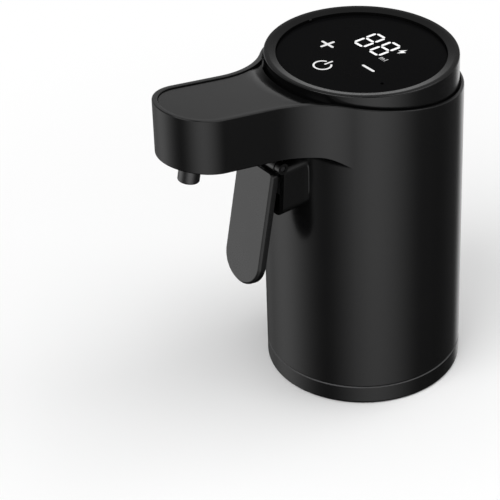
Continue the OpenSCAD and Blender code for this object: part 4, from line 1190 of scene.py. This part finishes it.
sleeve = turned("neck_sleeve_skin", dark_nylon, [
    (neck_r, lip_h),
    (sleeve_r, lip_h),
    (sleeve_r, neck_depth),
    (deck_r, neck_depth),
    (deck_r, deck_z),
    (stem_r + stem_gap, deck_z),
    (stem_r + stem_gap, neck_depth),
    (neck_r - lip_chamfer, neck_depth),
    (neck_r, neck_depth - lip_chamfer),
])
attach(sleeve, "housing")
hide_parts("neck_sleeve")

gasket_low = neck_depth - gasket_t
gasket_out = neck_r - lip_chamfer
gasket = turned("neck_gasket_skin", grey_silicone, [
    (gasket_in, neck_depth),
    *arc(gasket_in + gasket_round, gasket_low + gasket_round, gasket_round, 180, 270, 5),
    *arc(gasket_out - gasket_round, gasket_low + gasket_round, gasket_round, 270, 360, 5),
    (gasket_out, gasket_low + gasket_round),
    (gasket_out, neck_depth),
])
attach(gasket, "housing")
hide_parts("neck_gasket")

stopper = turned("bottle_stopper_skin", grey_silicone, [
    (tube_r + stem_gap, stopper_foot),
    *arc(stopper_foot_r - rib_round, stopper_foot + rib_round, rib_round, 270, 340, 5),
    (waist_r, waist_z),
    *arc(rib_r - rib_round, rib_z + rib_round, rib_round, -20, 60, 6),
    (valley_r, valley_low),
    (valley_r, valley_high),
    (stopper_r, land_z),
    (stopper_r, neck_depth),
    (stem_r, neck_depth),
    (stem_r, deck_z),
    (stopper_lip, deck_z),
    (stopper_lip_top, deck_z + stopper_lip_t),
    (tube_r + stem_gap, deck_z + stopper_lip_t),
])
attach(stopper, "housing")
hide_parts("bottle_stopper")

tube_ease = 0.15
drawn_steel = metal("drawn_steel", (0.64, 0.64, 0.65), 0.25, brush=(1.0, 1.0, 0.05))
intake = turned("intake_tube_skin", drawn_steel, [
    (tube_bore, tube_foot),
    (dip_spigot_r - tube_ease, tube_foot),
    (dip_spigot_r, tube_foot + tube_ease),
    (dip_spigot_r, tube_step),
    (tube_r, tube_step + tube_ease),
    (tube_r, tube_top),
    (tube_bore, tube_top),
], steps=64)
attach(intake, "housing")
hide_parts("intake_tube")

# Springs
# A coil of steel wire round the hinge pin swings the lever forward, one leg on the lever's back. Three
# gilt coils between the board and the lens carry the touch of a finger to the board.
spring_wire = 0.25
coil_r = 1.65
coil_half = 2.4
coil_reach = coil_half * 30 / 31
coil_turn = 1350
spring_bend = 0.4
spring_leg = 3.0
spring_foot = 1.2
coil_steps = 100
mesh = bmesh.new()
path = [(-coil_half, coil_r, -spring_bend - (1 - step / 2) * spring_leg) for step in range(3)]
for step in range(coil_steps + 1):
    share = step / coil_steps
    turn = math.radians(coil_turn * share)
    path.append((coil_reach * (2 * share - 1), coil_r * math.cos(turn), coil_r * math.sin(turn)))
path += [(coil_half, spring_bend + step / 2 * spring_foot, -coil_r) for step in range(3)]
tube(mesh, [on_lever @ Vector(point) for point in path], spring_wire)
spring = made(mesh, "trigger_spring_skin", steel, sharp=60)
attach(spring, "trigger")
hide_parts("trigger_spring")

touch_spots = ((-8.9, -4.8), (8.9, -4.8), (0, -13.9))
touch_coil_r = 2.0
touch_wire = 0.225
touch_turns = 4
touch_lift = 0.05
board_gap = 5.0
board_z = web_z - lens_web - board_gap
touch_rise = web_z - board_z - 2 * touch_lift - 2 * touch_wire
gilt = metal("gilt_spring", (0.8, 0.58, 0.24), 0.25)
mesh = bmesh.new()
for x, y in touch_spots:
    path = []
    for step in range(coil_steps + 1):
        turn = 2 * math.pi * touch_turns * step / coil_steps
        path.append(on_bezel @ Vector((
            x + touch_coil_r * math.cos(turn),
            y + touch_coil_r * math.sin(turn),
            board_z + touch_lift + touch_wire + touch_rise * step / coil_steps)))
    tube(mesh, path, touch_wire, sides=8)
touch = made(mesh, "touch_spring_set", gilt, sharp=60)
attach(touch, "housing")
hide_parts("touch_springs")

# Outlet hose and leads
# A clear silicone hose rises from the pump's barb and bends along the arm to the nozzle's elbow. Six
# red sleeved leads rise from motor, cell and switch to the board above them.
cover_z = 51.2
outlet_y = 20.5
hose_bend = 10.0
hose_turn = math.pi / 2 - top_slope
hose_line_z = body_h - hose_depth / math.cos(top_slope)
hose_end_y = -outlet_y - hose_bend + hose_bend * math.cos(hose_turn)
hose_bend_z = hose_line_z - hose_end_y * math.tan(top_slope) - hose_bend * math.sin(hose_turn)
hose_gap = 0.3
hose_lift = 0.05
hose_tip_y = nose_y + flange_r + hose_gap
hose_far_y = hose_tip_y * math.cos(top_slope) - hose_depth * math.sin(top_slope)
hose_r = 2.5
hose_bore = 1.7
hose_steps = 20
clear_silicone = moulded("clear_silicone", (0.55, 0.56, 0.56), shine=0.5, roughness=0.35)
path = [(0, -outlet_y, cover_z + hose_lift)]
for step in range(hose_steps + 1):
    turn = hose_turn * step / hose_steps
    path.append((0, hose_bend * (math.cos(turn) - 1) - outlet_y, hose_bend_z + hose_bend * math.sin(turn)))
path.append((0, hose_far_y, hose_line_z - hose_far_y * math.tan(top_slope)))
mesh = bmesh.new()
tube(mesh, path, hose_r, sides=24, bore=hose_bore)
hose = made(mesh, "outlet_hose_skin", clear_silicone)
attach(hose, "housing")
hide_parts("outlet_hose")

lead_r = 0.6
board_t = 1.6
lead_clear = 0.6
lead_top = bezel_h + board_z - board_t - lead_clear
drive_x = -4.5
motor_tab_x = 7.0
pump_y = -5.0
motor_tab_z = 82.05
cell_x, cell_y, cell_top = 15.892, 9.175, 87.65
cell_edge = Vector((-6.4, 0, -1.2))
switch_tab = Vector((4.0, -25.9, 75.5))
motor_lead_in, motor_lead_fore = 2.0, 4.0
cell_lead_in, cell_lead_fore = 1.0, 3.0
switch_lead_out, switch_lead_back = 2.0, 9.0


def eased_path(points, passes=3):
    """A path with its corners cut, so that a lead bends instead of folding."""
    for _ in range(passes):
        shorter = [points[0]]
        for one, other in zip(points, points[1:]):
            shorter += [one.lerp(other, 0.25), one.lerp(other, 0.75)]
        points = shorter + [points[-1]]
    return points


def leads(name, node, ends):
    """Leads that rise from their feet, step across half way and rise again to the board."""
    mesh = bmesh.new()
    for foot, head in ends:
        rise = Vector((0, 0, (head.z - foot.z) / 3))
        tube(mesh, eased_path([foot, foot + rise, head - rise, head]), lead_r)
    piece = made(mesh, name, lead_sleeve, sharp=60)
    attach(piece, "housing")
    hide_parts(node)


lead_sleeve = moulded("lead_sleeve", (0.4, 0.02, 0.02), shine=0.4, roughness=0.45)
cell_cap = Vector((cell_x, cell_y, cell_top))
leads("motor_lead_pair", "motor_leads", [
    (Vector((drive_x + side * motor_tab_x, pump_y, motor_tab_z)),
     Vector((drive_x + side * (motor_tab_x - motor_lead_in), pump_y - motor_lead_fore, lead_top)))
    for side in (-1, 1)
])
leads("battery_lead_pair", "battery_leads", [
    (foot, Vector((foot.x - cell_lead_in, foot.y - cell_lead_fore, lead_top)))
    for foot in (cell_cap, cell_cap + cell_edge)
])
leads("switch_lead_pair", "switch_leads", [
    (Vector((side * switch_tab.x, *switch_tab.yz)),
     Vector((side * (switch_tab.x + switch_lead_out), switch_tab.y + switch_lead_back, lead_top)))
    for side in (-1, 1)
])

# Pump, motor, cell and boards
# The works behind the casing: a gear pump with its motor, a lithium cell in its cradle, the control
# board under the lens and the charging board at the back. They keep their solids' shapes.
pump_plastic = moulded("pump_plastic", (0.42, 0.42, 0.4), shine=0.4, roughness=0.45)
gear_plastic = moulded("gear_plastic", (0.72, 0.69, 0.58), shine=0.4, roughness=0.4)
motor_plastic = moulded("motor_plastic", (0.62, 0.62, 0.57), shine=0.4, roughness=0.45)
cell_wrap = moulded("cell_wrap", (0.03, 0.13, 0.28), shine=0.5, roughness=0.3, grain=0.8)
display_black = moulded("display_black", (0.012, 0.012, 0.013), shine=0.4, roughness=0.5)
circuit_board = moulded("circuit_board", (0.012, 0.09, 0.035), shine=0.5, roughness=0.35,
                        grain=0.6, clouds=0.3)
chip_plastic = moulded("chip_plastic", (0.014, 0.014, 0.015), shine=0.35, roughness=0.55, depth=0.01)
switch_plastic = moulded("switch_plastic", (0.016, 0.016, 0.017), shine=0.4, roughness=0.5)
plunger_plastic = moulded("plunger_plastic", (0.4, 0.03, 0.022), shine=0.5, roughness=0.35)
black_rubber = moulded("black_rubber", (0.012, 0.012, 0.012), shine=0.25, roughness=0.65, depth=0.008)
magnet = moulded("magnet", (0.04, 0.04, 0.045), shine=0.5, roughness=0.6, grain=0.4, depth=0.01)
motor_steel = metal("motor_steel", (0.5, 0.5, 0.52), 0.35, brush=(1.0, 1.0, 0.1))
bronze = metal("bronze", (0.55, 0.34, 0.16), 0.45)
laminated_steel = metal("laminated_steel", (0.33, 0.29, 0.26), 0.5, brush=(0.05, 0.05, 8.0))
copper = metal("copper", (0.72, 0.36, 0.2), 0.3)


def dress(material, *names):
    """Give solids that keep their shapes a finish."""
    for name in names:
        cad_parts[name].data.materials.clear()
        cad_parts[name].data.materials.append(material)


soft_ease = 0.1
dress(pump_plastic, "pump_body", "pump_cover")
dress(gear_plastic, "drive_gear", "idler_gear")
dress(motor_plastic, "motor_end_cap")
dress(cell_wrap, "battery_cell")
dress(dark_nylon, "battery_cradle")
for name, rubber, slot in (
    ("vent_valve", grey_silicone, "grey_silicone"),
    ("pump_mounts", grey_silicone, "grey_silicone"),
    ("shaft_seal", black_rubber, "black_rubber"),
    ("nozzle_seal", black_rubber, "black_rubber"),
):
    soft = eased(name, name + "_skin", rubber, soft_ease)
    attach(soft, "housing")
dress(steel, "idler_pin", "motor_shaft")
dress(motor_steel, "motor_can")
dress(magnet, "motor_magnets")
dress(bronze, "motor_bushes")
dress(laminated_steel, "motor_armature")
dress(copper, "motor_commutator")
dress(display_black, "digit_display")
dress(circuit_board, "control_board", "usb_board")
dress(chip_plastic, "board_parts")
dress(switch_plastic, "micro_switch")
dress(plunger_plastic, "switch_plunger")

coarse_r = 1.0
fine_r = 0.8
pump_z = 40.0
pump_ears = ((-12.025, pump_y), (12.025, pump_y), (0, 5.2))
nozzle_ear_x = 6.2
board_ring = 18.3
board_angles = (20, 160, 235, 305)
charger_y, charger_z = 19.549, 80.5
switch_screw = Vector((7.0, -25.456, 80.2))
turned_over = Matrix.Rotation(math.pi, 4, "X")
facing_front = Matrix.Rotation(math.pi / 2, 4, "X")
board_spot = Matrix.Translation((board_ring, 0, board_z - board_t))
screws("pump_screw_set", "pump_screws", coarse_r, length=10.0, places=[
    Matrix.Translation((x, y, pump_z)) for x, y in pump_ears])
screws("nozzle_screw_set", "nozzle_screws", coarse_r, length=2.9, places=[
    on_nose @ Matrix.Translation((side * nozzle_ear_x, 0, flange_top)) @ turned_over for side in (-1, 1)])
screws("board_screw_set", "board_screws", fine_r, length=4.0, places=[
    on_bezel @ place for place in spun(board_angles, board_spot)])
screws("charging_screw_set", "usb_screws", fine_r, length=3.7, places=[
    Matrix.Translation((side * shelf_x, charger_y, charger_z)) @ turned_over for side in (-1, 1)])
screws("switch_screw_set", "switch_screws", coarse_r, length=5.5, places=[
    Matrix.Translation((side * switch_screw.x, *switch_screw.yz)) @ facing_front for side in (-1, 1)])

# Charging socket
# A stamped steel shell with a black plastic tongue. It is soldered to its own board, behind the flared
# slot in the body's back.
tongue_half = 3.31
tongue_t = 0.72
tongue_end = 27.06
socket_ease = 0.08
tongue_plastic = moulded("tongue_plastic", (0.01, 0.01, 0.01), shine=0.4, roughness=0.5)
socket = eased("usb_socket", "usb_socket_skin", steel, socket_ease)
paint_chosen_faces(socket, tongue_plastic, lambda spot: (
    abs(spot.x) < tongue_half and abs(spot.z - slot_z) < tongue_t / 2 and spot.y < tongue_end))
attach(socket, "housing")
